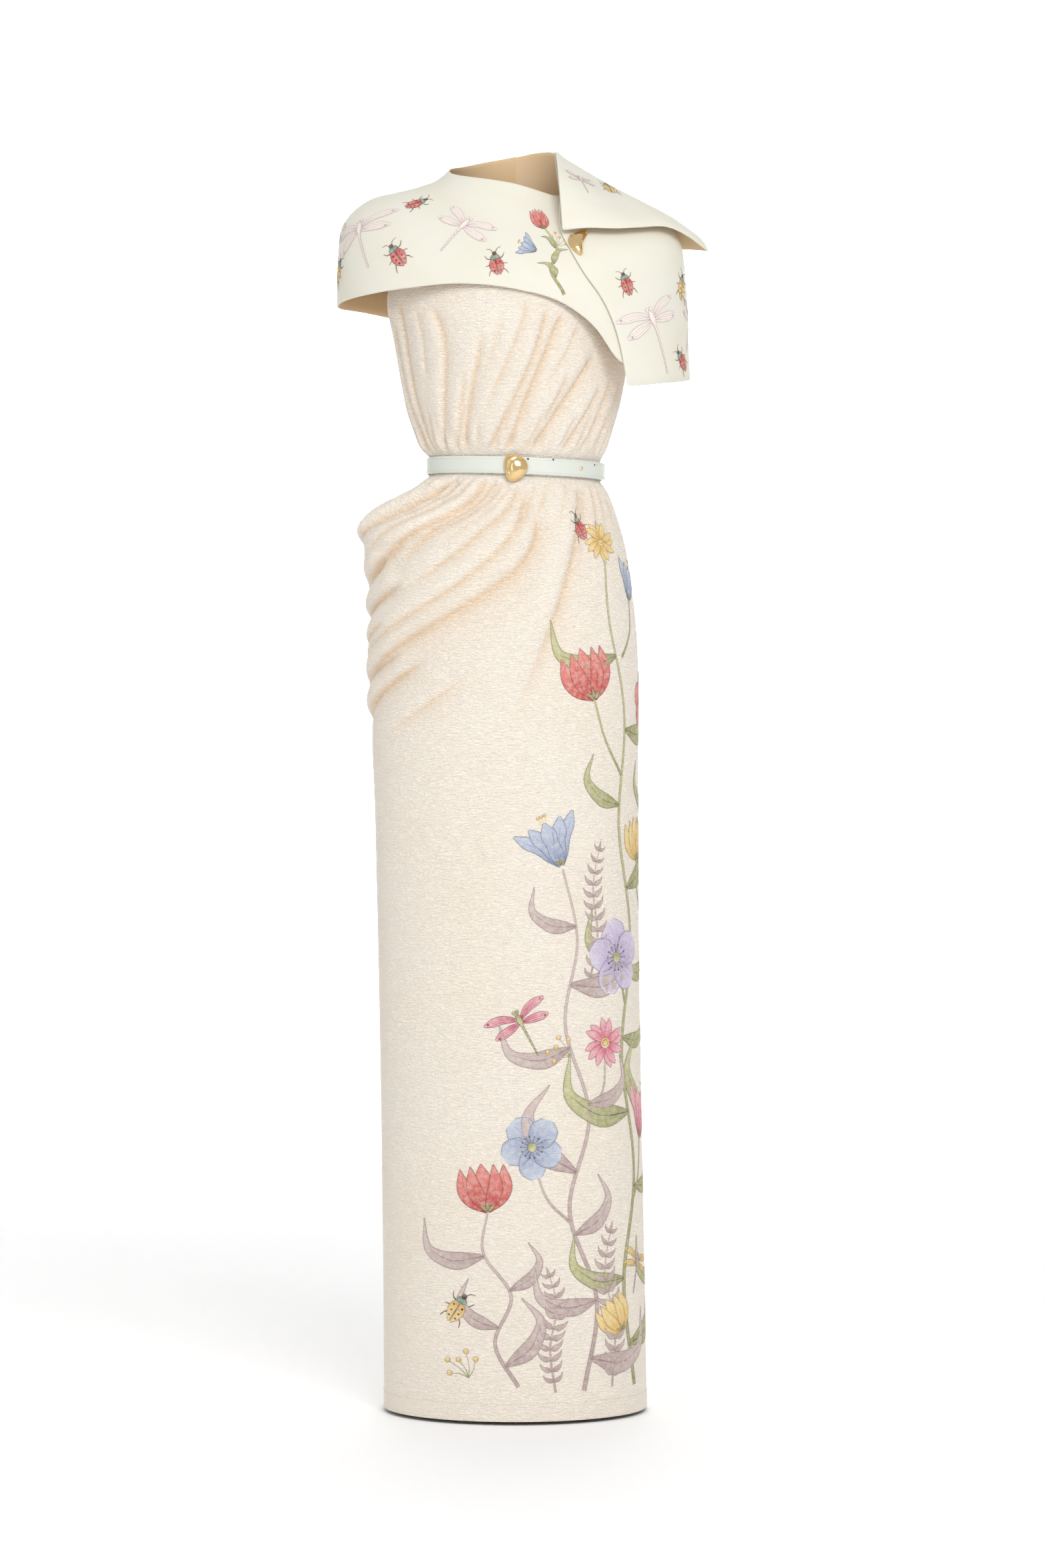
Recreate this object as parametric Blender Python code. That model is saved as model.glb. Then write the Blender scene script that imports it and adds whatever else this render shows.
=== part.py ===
# A floor-length evening dress, worn by nobody but kept filled out: gathered crepe bodice, column
# skirt draped to one hip, smooth wrap cape with a turned lapel, leather belt and gold trim.
# Metres, +Z up, front towards -Y, the wearer's left towards +X.
# The origin lies at the neck between the shoulders, where the wearer carries the dress.

import bpy
import numpy as np

# Cloth and seams
SEAM_GAP = 0.0003
CREPE_WALL = 0.0018
CAPE_WALL = 0.0022
UNDER_CAPE = 0.0036

# Waist and belt
WAIST_Z = -0.3225
WAIST_RIGHT = 0.1015
WAIST_LEFT = 0.1025
WAIST_FRONT = 0.0835
WAIST_BACK = 0.0775
WAIST_SLOPE_X = -0.033
WAIST_SLOPE_Y = 0.020
WAIST_SLOPE_FADE = 0.060
BELT_HEIGHT = 0.0188
BELT_WALL = 0.0024
BELT_CLEAR = 0.0015
BELT_LAYER = 0.0028
BELT_TIP_ANGLE = -3
BELT_HIDDEN_END = 438

# Skirt seams, as angles round the body: 0 at the viewer's right, 90 at the front
SKIRT_RIGHT_SEAM = -6
SKIRT_LEFT_SEAM = 204
HEM_Z = -1.445
ARC_PER_DEGREE = 0.0024

# Bodice: how far the waist gathers stand out, and how many there are in half a turn
GATHER_HEIGHT = 0.0016
GATHER_COUNT = 19
GATHER_RISE = 0.075

COLUMNS = ("right_x", "right_z", "left_x", "left_z", "front_y", "front_z", "back_y", "back_z")

# Cape: one row for each level from above the collar to below the sleeve hem
CAPE_ROWS = (
    (0.0560, 0.075, 0.0660, 0.075, 0.0570, 0.070, 0.0785, 0.075),
    (0.0590, 0.050, 0.0755, 0.043, 0.0640, 0.038, 0.0795, 0.048),
    (0.0730, 0.018, 0.0930, 0.0245, 0.0720, 0.011, 0.0830, 0.024),
    (0.0980, 0.000, 0.1180, 0.0150, 0.0820, -0.012, 0.0900, 0.002),
    (0.1320, -0.012, 0.1450, 0.0085, 0.0935, -0.033, 0.0980, -0.020),
    (0.1600, -0.020, 0.1720, 0.0015, 0.1060, -0.053, 0.1050, -0.042),
    (0.1810, -0.029, 0.1940, -0.0135, 0.1180, -0.074, 0.1100, -0.064),
    (0.1930, -0.041, 0.2075, -0.0330, 0.1270, -0.093, 0.1130, -0.085),
    (0.2010, -0.060, 0.2120, -0.0580, 0.1320, -0.110, 0.1145, -0.105),
    (0.2045, -0.090, 0.2135, -0.0900, 0.1350, -0.130, 0.1150, -0.125),
    (0.2070, -0.125, 0.2140, -0.1350, 0.1360, -0.160, 0.1150, -0.155),
    (0.2085, -0.175, 0.2140, -0.1900, 0.1340, -0.200, 0.1140, -0.195),
    (0.2125, -0.250, 0.2140, -0.2600, 0.1300, -0.260, 0.1120, -0.260),
)

# Bodice: the yoke hidden under the cape, then the rings down to the waist
BODICE_ROWS = (
    (0.0620, 0.008, 0.0924, 0.0221, 0.0655, -0.012, 0.0808, 0.0226),
    (0.0960, -0.009, 0.1100, 0.0100, 0.0785, -0.036, 0.0850, -0.004),
    (0.1300, -0.022, 0.1380, -0.002, 0.0985, -0.056, 0.0940, -0.034),
    (0.1420, -0.050, 0.1510, -0.036, 0.1150, -0.080, 0.1010, -0.065),
    (0.1435, -0.085, 0.1530, -0.078, 0.1240, -0.105, 0.1045, -0.097),
    (0.1420, -0.127, 0.1535, -0.127, 0.1290, -0.135, 0.1045, -0.130),
    (0.1385, -0.165, 0.1455, -0.165, 0.1300, -0.165, 0.1010, -0.165),
    (0.1345, -0.200, 0.1395, -0.200, 0.1230, -0.200, 0.0970, -0.200),
    (0.1258, -0.246, 0.1312, -0.246, 0.1090, -0.246, 0.0910, -0.246),
    (0.1122, -0.286, 0.1190, -0.286, 0.0950, -0.286, 0.0850, -0.286),
    (0.1058, -0.302, 0.1118, -0.302, 0.0890, -0.302, 0.0815, -0.302),
    (0.1022, -0.3115, 0.1032, -0.3115, 0.0842, -0.3115, 0.0782, -0.3115),
    (WAIST_RIGHT, WAIST_Z, WAIST_LEFT, WAIST_Z, WAIST_FRONT, WAIST_Z, WAIST_BACK, WAIST_Z),
)

# Armhole edge of a bodice panel: how many degrees it stands in from the side seam at each row
ARMHOLE_ROWS = (0, 1.2, 2.0, 2.5, 3.0, 3.6, 4.2, 4.7, 5.0, 12)
ARMHOLE_INSET = (0, 0, 0, 17, 29, 31, 22, 9, 0, 0)

# Skirt: z, then the half widths right and left and the half depths front and back
SKIRT_ROWS = (
    (WAIST_Z, WAIST_RIGHT, WAIST_LEFT, WAIST_FRONT, WAIST_BACK),
    (-0.3335, 0.1022, 0.1029, 0.0842, 0.0782),
    (-0.3420, 0.1070, 0.1125, 0.0868, 0.0840),
    (-0.3520, 0.1120, 0.1195, 0.0905, 0.0890),
    (-0.3630, 0.1165, 0.1310, 0.0945, 0.0945),
    (-0.3750, 0.1210, 0.1495, 0.0988, 0.1000),
    (-0.3870, 0.1250, 0.1715, 0.1030, 0.1050),
    (-0.3960, 0.1278, 0.1840, 0.1052, 0.1085),
    (-0.4060, 0.1303, 0.1865, 0.1072, 0.1115),
    (-0.4200, 0.1335, 0.1815, 0.1098, 0.1155),
    (-0.4350, 0.1362, 0.1780, 0.1120, 0.1190),
    (-0.4700, 0.1408, 0.1755, 0.1155, 0.1230),
    (-0.5000, 0.1445, 0.1765, 0.1180, 0.1250),
    (-0.5600, 0.1480, 0.1760, 0.1200, 0.1260),
    (-0.5950, 0.1480, 0.1765, 0.1205, 0.1258),
    (-0.6400, 0.1480, 0.1730, 0.1210, 0.1250),
    (-0.7000, 0.1480, 0.1695, 0.1215, 0.1245),
    (-0.8200, 0.1485, 0.1662, 0.1230, 0.1240),
    (-1.0500, 0.1510, 0.1615, 0.1260, 0.1260),
    (-1.2500, 0.1545, 0.1585, 0.1285, 0.1290),
    (HEM_Z, 0.1580, 0.1570, 0.1310, 0.1310),
)

# Folds. Each row: three places the crease goes through as angle and z, the height of the ridge
# above it and its reach, the depth of the trough under it and its spread, and the shares of the
# crease over which it fades in and out. A hand of -1 turns the ridge to the other side.
FOLD_COLUMNS = (
    "a0", "z0", "a1", "z1", "a2", "z2", "ridge", "reach", "trough", "spread", "fade_in", "fade_out", "hand",
)
SKIRT_FOLDS = (
    (130, -0.333, 152, -0.374, 198, -0.424, 0.006, 0.010, 0.010, 0.012, 0.05, 0.25, 1),
    (115, -0.333, 134, -0.383, 176, -0.440, 0.002, 0.009, 0.004, 0.012, 0.05, 0.40, 1),
    (109, -0.336, 132, -0.405, 198, -0.478, 0.006, 0.011, 0.009, 0.018, 0.05, 0.25, 1),
    (138, -0.460, 162, -0.484, 208, -0.516, 0.006, 0.011, 0.008, 0.016, 0.30, 0.30, 1),
    (101, -0.336, 122, -0.400, 150, -0.452, 0.003, 0.010, 0.004, 0.018, 0.05, 0.45, 1),
    (88, -0.341, 108, -0.418, 152, -0.489, 0.003, 0.013, 0.005, 0.022, 0.10, 0.40, 1),
    (84, -0.346, 114, -0.468, 202, -0.566, 0.004, 0.013, 0.005, 0.024, 0.10, 0.30, 1),
    (79, -0.375, 104, -0.480, 206, -0.604, 0.005, 0.014, 0.008, 0.028, 0.15, 0.20, 1),
    (126, -0.550, 156, -0.590, 206, -0.640, 0.005, 0.011, 0.006, 0.016, 0.30, 0.30, 1),
    (46, -0.338, 66, -0.475, 96, -0.655, 0.003, 0.013, 0.005, 0.022, 0.08, 0.45, 1),
    (40, -0.342, 49, -0.390, 62, -0.490, 0.001, 0.010, 0.002, 0.014, 0.10, 0.50, 1),
    (268, -0.338, 246, -0.400, 210, -0.462, 0.004, 0.012, 0.006, 0.018, 0.08, 0.35, -1),
    (284, -0.338, 262, -0.430, 216, -0.530, 0.004, 0.014, 0.006, 0.024, 0.10, 0.35, -1),
    (300, -0.345, 282, -0.470, 222, -0.600, 0.003, 0.014, 0.005, 0.028, 0.15, 0.40, -1),
    (322, -0.340, 312, -0.410, 296, -0.520, 0.002, 0.012, 0.003, 0.020, 0.10, 0.50, -1),
)
BODICE_FOLDS = (
    (153, -0.118, 156, -0.205, 150, -0.318, 0.002, 0.008, 0.004, 0.009, 0.15, 0.05, 1),
    (166, -0.140, 166, -0.204, 158, -0.318, 0.002, 0.008, 0.003, 0.008, 0.20, 0.05, 1),
    (132, -0.136, 127, -0.205, 140, -0.318, 0.002, 0.009, 0.004, 0.010, 0.15, 0.05, 1),
    (116, -0.205, 120, -0.258, 131, -0.318, 0.002, 0.008, 0.003, 0.008, 0.35, 0.05, 1),
    (105, -0.165, 112, -0.232, 125, -0.318, 0.002, 0.009, 0.004, 0.009, 0.25, 0.05, 1),
    (85, -0.130, 91, -0.190, 112, -0.285, 0.002, 0.009, 0.003, 0.010, 0.15, 0.30, 1),
    (74, -0.138, 86, -0.228, 110, -0.318, 0.003, 0.010, 0.005, 0.010, 0.10, 0.05, 1),
    (66, -0.145, 79, -0.222, 97, -0.318, 0.003, 0.010, 0.005, 0.010, 0.10, 0.05, 1),
    (61, -0.215, 66, -0.242, 76, -0.285, 0.002, 0.008, 0.003, 0.008, 0.30, 0.30, 1),
    (45, -0.190, 62, -0.250, 82, -0.318, 0.003, 0.012, 0.005, 0.014, 0.15, 0.10, 1),
    (37, -0.225, 48, -0.271, 60, -0.318, 0.002, 0.009, 0.004, 0.009, 0.20, 0.05, 1),
    (29, -0.210, 35, -0.265, 45, -0.318, 0.002, 0.009, 0.004, 0.008, 0.20, 0.05, 1),
    (19, -0.205, 22, -0.262, 30, -0.318, 0.002, 0.008, 0.003, 0.008, 0.20, 0.05, 1),
    (196, -0.180, 200, -0.245, 214, -0.318, 0.002, 0.009, 0.004, 0.010, 0.30, 0.05, 1),
    (222, -0.190, 230, -0.250, 240, -0.318, 0.002, 0.009, 0.004, 0.010, 0.30, 0.05, 1),
    (250, -0.170, 254, -0.240, 260, -0.318, 0.002, 0.009, 0.004, 0.010, 0.30, 0.05, 1),
    (290, -0.170, 286, -0.240, 280, -0.318, 0.002, 0.009, 0.004, 0.010, 0.30, 0.05, -1),
    (318, -0.190, 310, -0.250, 300, -0.318, 0.002, 0.009, 0.004, 0.010, 0.30, 0.05, -1),
    (344, -0.180, 338, -0.245, 326, -0.318, 0.002, 0.009, 0.004, 0.010, 0.30, 0.05, -1),
)
# The pouf of cloth over the hip: the line of its top, its height and its reach above and below
POUF = {"a0": 132, "z0": -0.334, "a1": 158, "z1": -0.366, "a2": 214, "z2": -0.394}
POUF_HEIGHT = 0.009
POUF_UP = 0.020
POUF_DOWN = 0.018

# Wrap half of the cape: its neck and hem edges, as angle and z
WRAP_ANGLES = (20, 50, 70, 90, 110, 130, 150, 180, 210, 240, 270)
WRAP_NECK_Z = (-0.009, -0.003, 0.004, 0.0100, 0.0158, 0.021, 0.027, 0.038, 0.046, 0.0555, 0.0635)
WRAP_HEM_ANGLES = (20, 44, 54, 62, 72, 90, 108, 125, 145, 160, 180, 215, 245, 270)
WRAP_HEM_Z = (
    -0.212, -0.208, -0.200, -0.166, -0.140, -0.1205, -0.1135, -0.1165, -0.121, -0.124, -0.127, -0.1285,
    -0.143, -0.165,
)
WRAP_END_TOP = 26
WRAP_END_HEM = 46

# Left half of the cape: collar crest and hem, as angle and z, and the front edge as z and x
CREST_ANGLES = (-90, -60, -36, -15, 0, 18, 34, 60)
CREST_Z = (0.0630, 0.0665, 0.0635, 0.0540, 0.0475, 0.0475, 0.0520, 0.042)
LEFT_HEM_ANGLES = (-90, -60, -30, 0, 30, 60, 90)
LEFT_HEM_Z = (-0.165, -0.183, -0.203, -0.2136, -0.2240, -0.2345, -0.240)
LEFT_EDGE_Z = (-0.236, -0.213, -0.187, -0.160, -0.134, -0.098, -0.071, -0.054, 0.000, 0.050)
LEFT_EDGE_X = (0.1345, 0.1305, 0.1255, 0.1175, 0.1055, 0.0805, 0.0655, 0.0567, 0.0540, 0.0485)

# Turned lapel: the angle it leaves the crest at, its outer edge, and how far it bellies and curls
LAPEL_FRONT = (
    (34, 0.0565, -0.108, -0.0490, 0.0160, 0.0000),
    (22, 0.0860, -0.106, -0.0462, 0.0130, 0.0010),
    (10, 0.1180, -0.098, -0.0460, 0.0090, 0.0030),
    (-2, 0.1460, -0.083, -0.0430, 0.0040, 0.0040),
    (-12, 0.1780, -0.059, -0.0391, 0.0010, 0.0060),
    (-22, 0.2040, -0.033, -0.0462, 0.0000, 0.0085),
    (-30, 0.2300, 0.000, -0.0600, 0.0000, 0.0100),
)
LAPEL_BACK = (
    (-30, 0.2300, 0.000, -0.0600, 0.0000, 0.0100),
    (-38, 0.2040, 0.033, -0.0540, 0.0000, 0.0070),
    (-50, 0.1640, 0.068, -0.0490, 0.0030, 0.0040),
    (-62, 0.1150, 0.096, -0.0480, 0.0060, 0.0020),
    (-76, 0.0500, 0.116, -0.0500, 0.0120, 0.0000),
)

# Trim
# Buckle: its middle, how far it stands out, and its outline as angle and radius
BUCKLE_X = 0.0013
BUCKLE_Z = -0.3275
BUCKLE_DEPTH = 0.0095
BUCKLE_ANGLES = (-14, 11, 37, 72, 108, 130, 151, 185, 211, 240, 255, 280, 312, 346, 371)
BUCKLE_RADII = (
    0.0139, 0.0145, 0.0145, 0.0148, 0.0174, 0.0182, 0.0162, 0.0142, 0.0143, 0.0168, 0.0170, 0.0144,
    0.0130, 0.0139, 0.0145,
)
STUD_RADIUS = 0.0024
STUD_DEPTH = 0.0016
STUD_ANGLE = 43
# Brooch: a curled leaf, as the x of its left and right edges at each z
BROOCH_Z = (-0.0510, -0.0555, -0.0610, -0.0660, -0.0710, -0.0760, -0.0800)
BROOCH_LEFT = (0.0790, 0.0655, 0.0625, 0.0628, 0.0655, 0.0700, 0.0752)
BROOCH_RIGHT = (0.0870, 0.0842, 0.0815, 0.0800, 0.0795, 0.0796, 0.0785)
BROOCH_DOME = 0.0055
BROOCH_EDGE = 0.0014


def smooth(at, knots, values):
    """Values between knots on a smooth curve through them."""
    knots = np.asarray(knots, float)
    values = np.asarray(values, float)
    at = np.clip(at, knots[0], knots[-1])
    i = np.clip(np.searchsorted(knots, at, side="right") - 1, 0, len(knots) - 2)
    step = knots[i + 1] - knots[i]
    slope = np.gradient(values, knots)
    s = (at - knots[i]) / step
    start = (2 * s**3 - 3 * s**2 + 1) * values[i] + (s**3 - 2 * s**2 + s) * step * slope[i]
    return start + (3 * s**2 - 2 * s**3) * values[i + 1] + (s**3 - s**2) * step * slope[i + 1]


def ease(share):
    share = np.clip(share, 0, 1)
    return share * share * (3 - 2 * share)


def ring_point(rows, knots, angle, at):
    """A point of a ringed surface. angle is in degrees, at is a place along the rows."""
    column = {
        name: smooth(at, knots, [row[i] for row in rows]) for i, name in enumerate(COLUMNS)
    }
    c = np.cos(np.radians(angle))
    s = np.sin(np.radians(angle))
    x = np.where(c > 0, column["right_x"], column["left_x"]) * c
    y = -np.where(s > 0, column["front_y"], column["back_y"]) * s
    side = np.where(c > 0, column["right_z"], column["left_z"])
    middle = np.where(s > 0, column["front_z"], column["back_z"])
    return np.stack([x, y, side * c * c + middle * s * s], axis=-1)


def tilted(points):
    """The same points after the slope of the waist line."""
    near = np.exp(-(((points[..., 2] - WAIST_Z) / WAIST_SLOPE_FADE) ** 2))
    rise = WAIST_SLOPE_X * points[..., 0] + WAIST_SLOPE_Y * points[..., 1]
    out = points.copy()
    out[..., 2] += near * rise
    return out


def cape_base(angle, at):
    return ring_point(CAPE_ROWS, np.arange(len(CAPE_ROWS)), angle, at)


def bodice_base(angle, at):
    return tilted(ring_point(BODICE_ROWS, np.arange(len(BODICE_ROWS)), angle, at))


def skirt_base(angle, z):
    rows = [(r[1], r[0], r[2], r[0], r[3], r[0], r[4], r[0]) for r in SKIRT_ROWS]
    return tilted(ring_point(rows[::-1], [row[1] for row in rows[::-1]], angle, z))


def normal_of(base, angle, at, down):
    """The outward normal of a base surface. down is 1 where at grows downhill and -1 where it falls."""
    turn = base(angle + 0.05, at) - base(angle - 0.05, at)
    fall = (base(angle, at + 0.002) - base(angle, at - 0.002)) * down
    normal = np.cross(turn, fall)
    return normal / np.linalg.norm(normal, axis=-1, keepdims=True)


def crease_place(angle, z, row):
    """How far each point lies from a crease, below it or above it, and how far along it."""
    s = angle * ARC_PER_DEGREE
    share = np.linspace(0, 1, 15)
    start, middle, end = ((row["a" + k] * ARC_PER_DEGREE, row["z" + k]) for k in "012")
    bend = [2 * m - (a + b) / 2 for a, m, b in zip(start, middle, end)]
    path = np.stack(
        [
            (1 - share) ** 2 * a + 2 * share * (1 - share) * b + share**2 * c
            for a, b, c in zip(start, bend, end)
        ]
    )
    nearest = np.full(np.broadcast(s, z).shape, np.inf)
    side = np.zeros_like(nearest)
    along = np.zeros_like(nearest)
    for k in range(len(share) - 1):
        ds, dz = path[:, k + 1] - path[:, k]
        length = ds * ds + dz * dz
        local = ((s - path[0, k]) * ds + (z - path[1, k]) * dz) / length
        place = np.clip(local, 0, 1)
        off_s = s - path[0, k] - place * ds
        off_z = z - path[1, k] - place * dz
        far = off_s**2 + off_z**2
        closer = far < nearest
        nearest = np.where(closer, far, nearest)
        side = np.where(closer, np.sign(dz * off_s - ds * off_z), side)
        along = np.where(closer, (k + place) / (len(share) - 1), along)
    return np.sqrt(nearest) * np.where(side < 0, -1, 1), along


def fold_height(angle, z, folds, softness):
    """How far a set of creases moves the cloth out, with ridges no sharper than softness."""
    total = np.zeros(np.broadcast(angle, z).shape)
    for values in folds:
        row = dict(zip(FOLD_COLUMNS, values))
        gap, along = crease_place(angle, z, row)
        gap = gap * row["hand"]
        reach = max(row["reach"], softness)
        spread = max(row["spread"], softness)
        up = np.maximum(-gap, 0)
        down = np.maximum(gap, 0)
        ridge = row["ridge"] * up / reach * np.exp(1 - up / reach)
        trough = row["trough"] * np.exp(-down / spread - up / (0.6 * reach))
        strength = ease(along / row["fade_in"]) * ease((1 - along) / row["fade_out"])
        total += (ridge - trough) * strength
    return total


def pouf_height(angle, z):
    gap, along = crease_place(angle, z, POUF)
    reach = np.where(gap > 0, POUF_DOWN, POUF_UP)
    strength = ease(along / 0.75) * ease((1 - along) / 0.35)
    return POUF_HEIGHT * strength * np.exp(-((gap / reach) ** 2))


def gather_height(angle, z):
    """Small gathers that rise from the waist seam."""
    near = ease(1 - np.abs(z - WAIST_Z) / GATHER_RISE)
    uneven = 1 + 0.45 * np.sin(np.radians(angle * 5.3 + 40)) + 0.25 * np.sin(np.radians(angle * 11.7))
    wave = np.sin(np.radians(angle * 2 * GATHER_COUNT + 60 * np.sin(np.radians(angle * 3.1))))
    return GATHER_HEIGHT * near * uneven * wave


def at_the_seam(z):
    """1 away from the waist seam and 0 on it, so that folds die out under the belt."""
    return ease((np.abs(z - WAIST_Z) - 0.0105) / 0.018)


def bodice_surface(angle, at, out, softness):
    base = bodice_base(angle, at)
    z = base[..., 2]
    move = fold_height(angle, z, BODICE_FOLDS, softness) + gather_height(angle, z)
    shown = ease((-0.100 - z) / 0.03)
    move = move * at_the_seam(z) * shown
    return base + normal_of(bodice_base, angle, at, 1) * (move + out)[..., None]


def skirt_surface(angle, z, out, softness):
    base = skirt_base(angle, z)
    move = fold_height(angle, z, SKIRT_FOLDS, softness)
    move = (move + pouf_height(angle, z) + gather_height(angle, z)) * at_the_seam(z)
    return base + normal_of(skirt_base, angle, z, -1) * (move + out)[..., None]


def cape_surface(angle, at, out):
    return cape_base(angle, at) + normal_of(cape_base, angle, at, 1) * np.asarray(out)[..., None]


def cape_level(angle, z):
    """The place along the cape's rows where it has this height, found by halving."""
    low = np.zeros(np.broadcast(angle, z).shape)
    high = np.full_like(low, len(CAPE_ROWS) - 1.0)
    for _ in range(24):
        middle = (low + high) / 2
        above = cape_base(angle, middle)[..., 2] > z
        low = np.where(above, middle, low)
        high = np.where(above, high, middle)
    return (low + high) / 2


def cape_place(x, z):
    """The angle and row where the cape's front has this x and z."""
    angle = np.full(np.broadcast(x, z).shape, 45.0)
    for _ in range(60):
        at = cape_level(angle, z)
        wanted = x / cape_base(np.zeros_like(angle), at)[..., 0]
        angle = 0.6 * angle + 0.4 * np.degrees(np.arccos(np.clip(wanted, -0.985, 0.985)))
    return angle, cape_level(angle, z)


def material(name, colour, roughness, metallic=0.0):
    made = bpy.data.materials.new(name)
    made.use_nodes = True
    shader = made.node_tree.nodes["Principled BSDF"]
    shader.inputs["Base Color"].default_value = (*colour, 1)
    shader.inputs["Roughness"].default_value = roughness
    shader.inputs["Metallic"].default_value = metallic
    made.diffuse_color = (*colour, 1)
    return made


def add_object(name, points, faces, finish):
    mesh = bpy.data.meshes.new(name)
    mesh.from_pydata([tuple(p) for p in points], [], faces)
    mesh.materials.append(finish)
    mesh.shade_smooth()
    mesh.set_sharp_from_angle(angle=np.radians(40))
    made = bpy.data.objects.new(name, mesh)
    bpy.context.scene.collection.objects.link(made)
    return made


def wall(name, outer, inner, finish):
    """A closed wall between two grids of points. Rows run down, columns run round from the right."""
    rows, columns = outer.shape[:2]
    points = np.concatenate([outer.reshape(-1, 3), inner.reshape(-1, 3)])
    other = rows * columns

    def at(row, column):
        return row * columns + column

    faces = []
    for i in range(rows - 1):
        for j in range(columns - 1):
            quad = (at(i, j), at(i, j + 1), at(i + 1, j + 1), at(i + 1, j))
            faces.append(quad)
            faces.append(tuple(other + k for k in reversed(quad)))
    border = [at(0, j) for j in range(columns)]
    border += [at(i, columns - 1) for i in range(1, rows)]
    border += [at(rows - 1, j) for j in range(columns - 2, -1, -1)]
    border += [at(i, 0) for i in range(rows - 2, 0, -1)]
    for first, second in zip(border, border[1:] + border[:1]):
        faces.append((second, first, other + first, other + second))
    return add_object(name, points, faces, finish)


def spread_out(start, end, count, crowd_at=None, crowd=1.0):
    """count places from start to end, closer together round crowd_at."""
    fine = np.linspace(start, end, 801)
    weight = np.ones_like(fine)
    if crowd_at is not None:
        weight += crowd * np.exp(-(((fine - crowd_at) / (0.33 * abs(end - start))) ** 2))
    total = np.concatenate([[0], np.cumsum((weight[1:] + weight[:-1]) / 2)])
    return np.interp(np.linspace(0, total[-1], count), total, fine)


def bodice_panel(name, start, end, columns, finish):
    """Half of the bodice, from the neck down to the waist seam, with an armhole at each side."""
    at = np.concatenate([np.linspace(0, 5, 8), np.linspace(5.6, len(BODICE_ROWS) - 1, 12)])
    share = np.linspace(0, 1, columns)
    inset = np.maximum(smooth(at, ARMHOLE_ROWS, ARMHOLE_INSET), 0)[:, None]
    inset = np.where(at[:, None] < 5, inset, 0)
    gap = np.degrees(SEAM_GAP / 2 / 0.12)
    angle = start + gap + inset + (end - start - 2 * gap - 2 * inset) * share[None, :]
    at = np.broadcast_to(at[:, None], angle.shape)
    outer = bodice_surface(angle, at, 0.0, 0.010)
    inner = bodice_surface(angle, at, -CREPE_WALL, 0.010)
    return wall(name, outer, inner, finish)


def skirt_panel(name, start, end, columns, crowd_at, finish):
    top = WAIST_Z - SEAM_GAP
    z = np.concatenate(
        [
            np.linspace(top, -0.345, 4),
            np.linspace(-0.353, -0.44, 11),
            np.linspace(-0.451, -0.67, 20),
            np.array([-0.72, -0.82, -1.0, -1.22, HEM_Z]),
        ]
    )
    gap = np.degrees(SEAM_GAP / 2 / 0.12)
    angle = spread_out(start + gap, end - gap, columns, crowd_at, 1.4)
    angle, z = np.meshgrid(angle, z)
    outer = skirt_surface(angle, z, 0.0, 0.014)
    inner = skirt_surface(angle, z, -CREPE_WALL, 0.014)
    return wall(name, outer, inner, finish)


def cape_rows_between(angle, top_z, hem_z, share):
    top = cape_level(angle, top_z)
    hem = cape_level(angle, hem_z)
    return top + (hem - top) * share


def cape_wrap(finish):
    """The wrap half: over the right shoulder, across the chest and under the left half."""
    share = np.linspace(0, 1, 13)[:, None]
    gap = np.degrees(SEAM_GAP / 2 / 0.08)
    first = WRAP_END_TOP + (WRAP_END_HEM - WRAP_END_TOP) * share
    angle = first + (270 - gap - first) * np.linspace(0, 1, 26)[None, :]
    neck = smooth(angle, WRAP_ANGLES, WRAP_NECK_Z)
    hem = smooth(angle, WRAP_HEM_ANGLES, WRAP_HEM_Z)
    at = cape_rows_between(angle, neck, hem, share)
    under = -UNDER_CAPE * ease((100 - angle) / 40)
    outer = cape_surface(angle, at, under)
    inner = cape_surface(angle, at, under - CAPE_WALL)
    return wall("cape_wrap", outer, inner, finish)


def left_edge(share):
    """The angle of the left half's front edge at each share of the way down it."""
    angle = np.full_like(share, 30.0)
    for _ in range(60):
        crest = smooth(angle, CREST_ANGLES, CREST_Z)
        hem = smooth(angle, LEFT_HEM_ANGLES, LEFT_HEM_Z)
        at = cape_rows_between(angle, crest, hem, share)
        wanted = smooth(cape_base(angle, at)[..., 2], LEFT_EDGE_Z, LEFT_EDGE_X)
        wanted = wanted / cape_base(np.zeros_like(angle), at)[..., 0]
        angle = 0.6 * angle + 0.4 * np.degrees(np.arccos(np.clip(wanted, 0.0, 0.985)))
    return angle


def cape_left(finish):
    """The left half: a stand at the neck, a diagonal front edge and a flat sleeve."""
    share = np.linspace(0, 1, 18)[:, None]
    gap = np.degrees(SEAM_GAP / 2 / 0.08)
    front = left_edge(share)
    angle = -90 + gap + (front + 90 - gap) * np.linspace(0, 1, 18)[None, :]
    crest = smooth(angle, CREST_ANGLES, CREST_Z)
    hem = smooth(angle, LEFT_HEM_ANGLES, LEFT_HEM_Z)
    at = cape_rows_between(angle, crest, hem, share)
    outer = cape_surface(angle, at, np.zeros_like(at))
    inner = cape_surface(angle, at, np.zeros_like(at) - CAPE_WALL)
    return wall("cape_left", outer, inner, finish)


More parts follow.
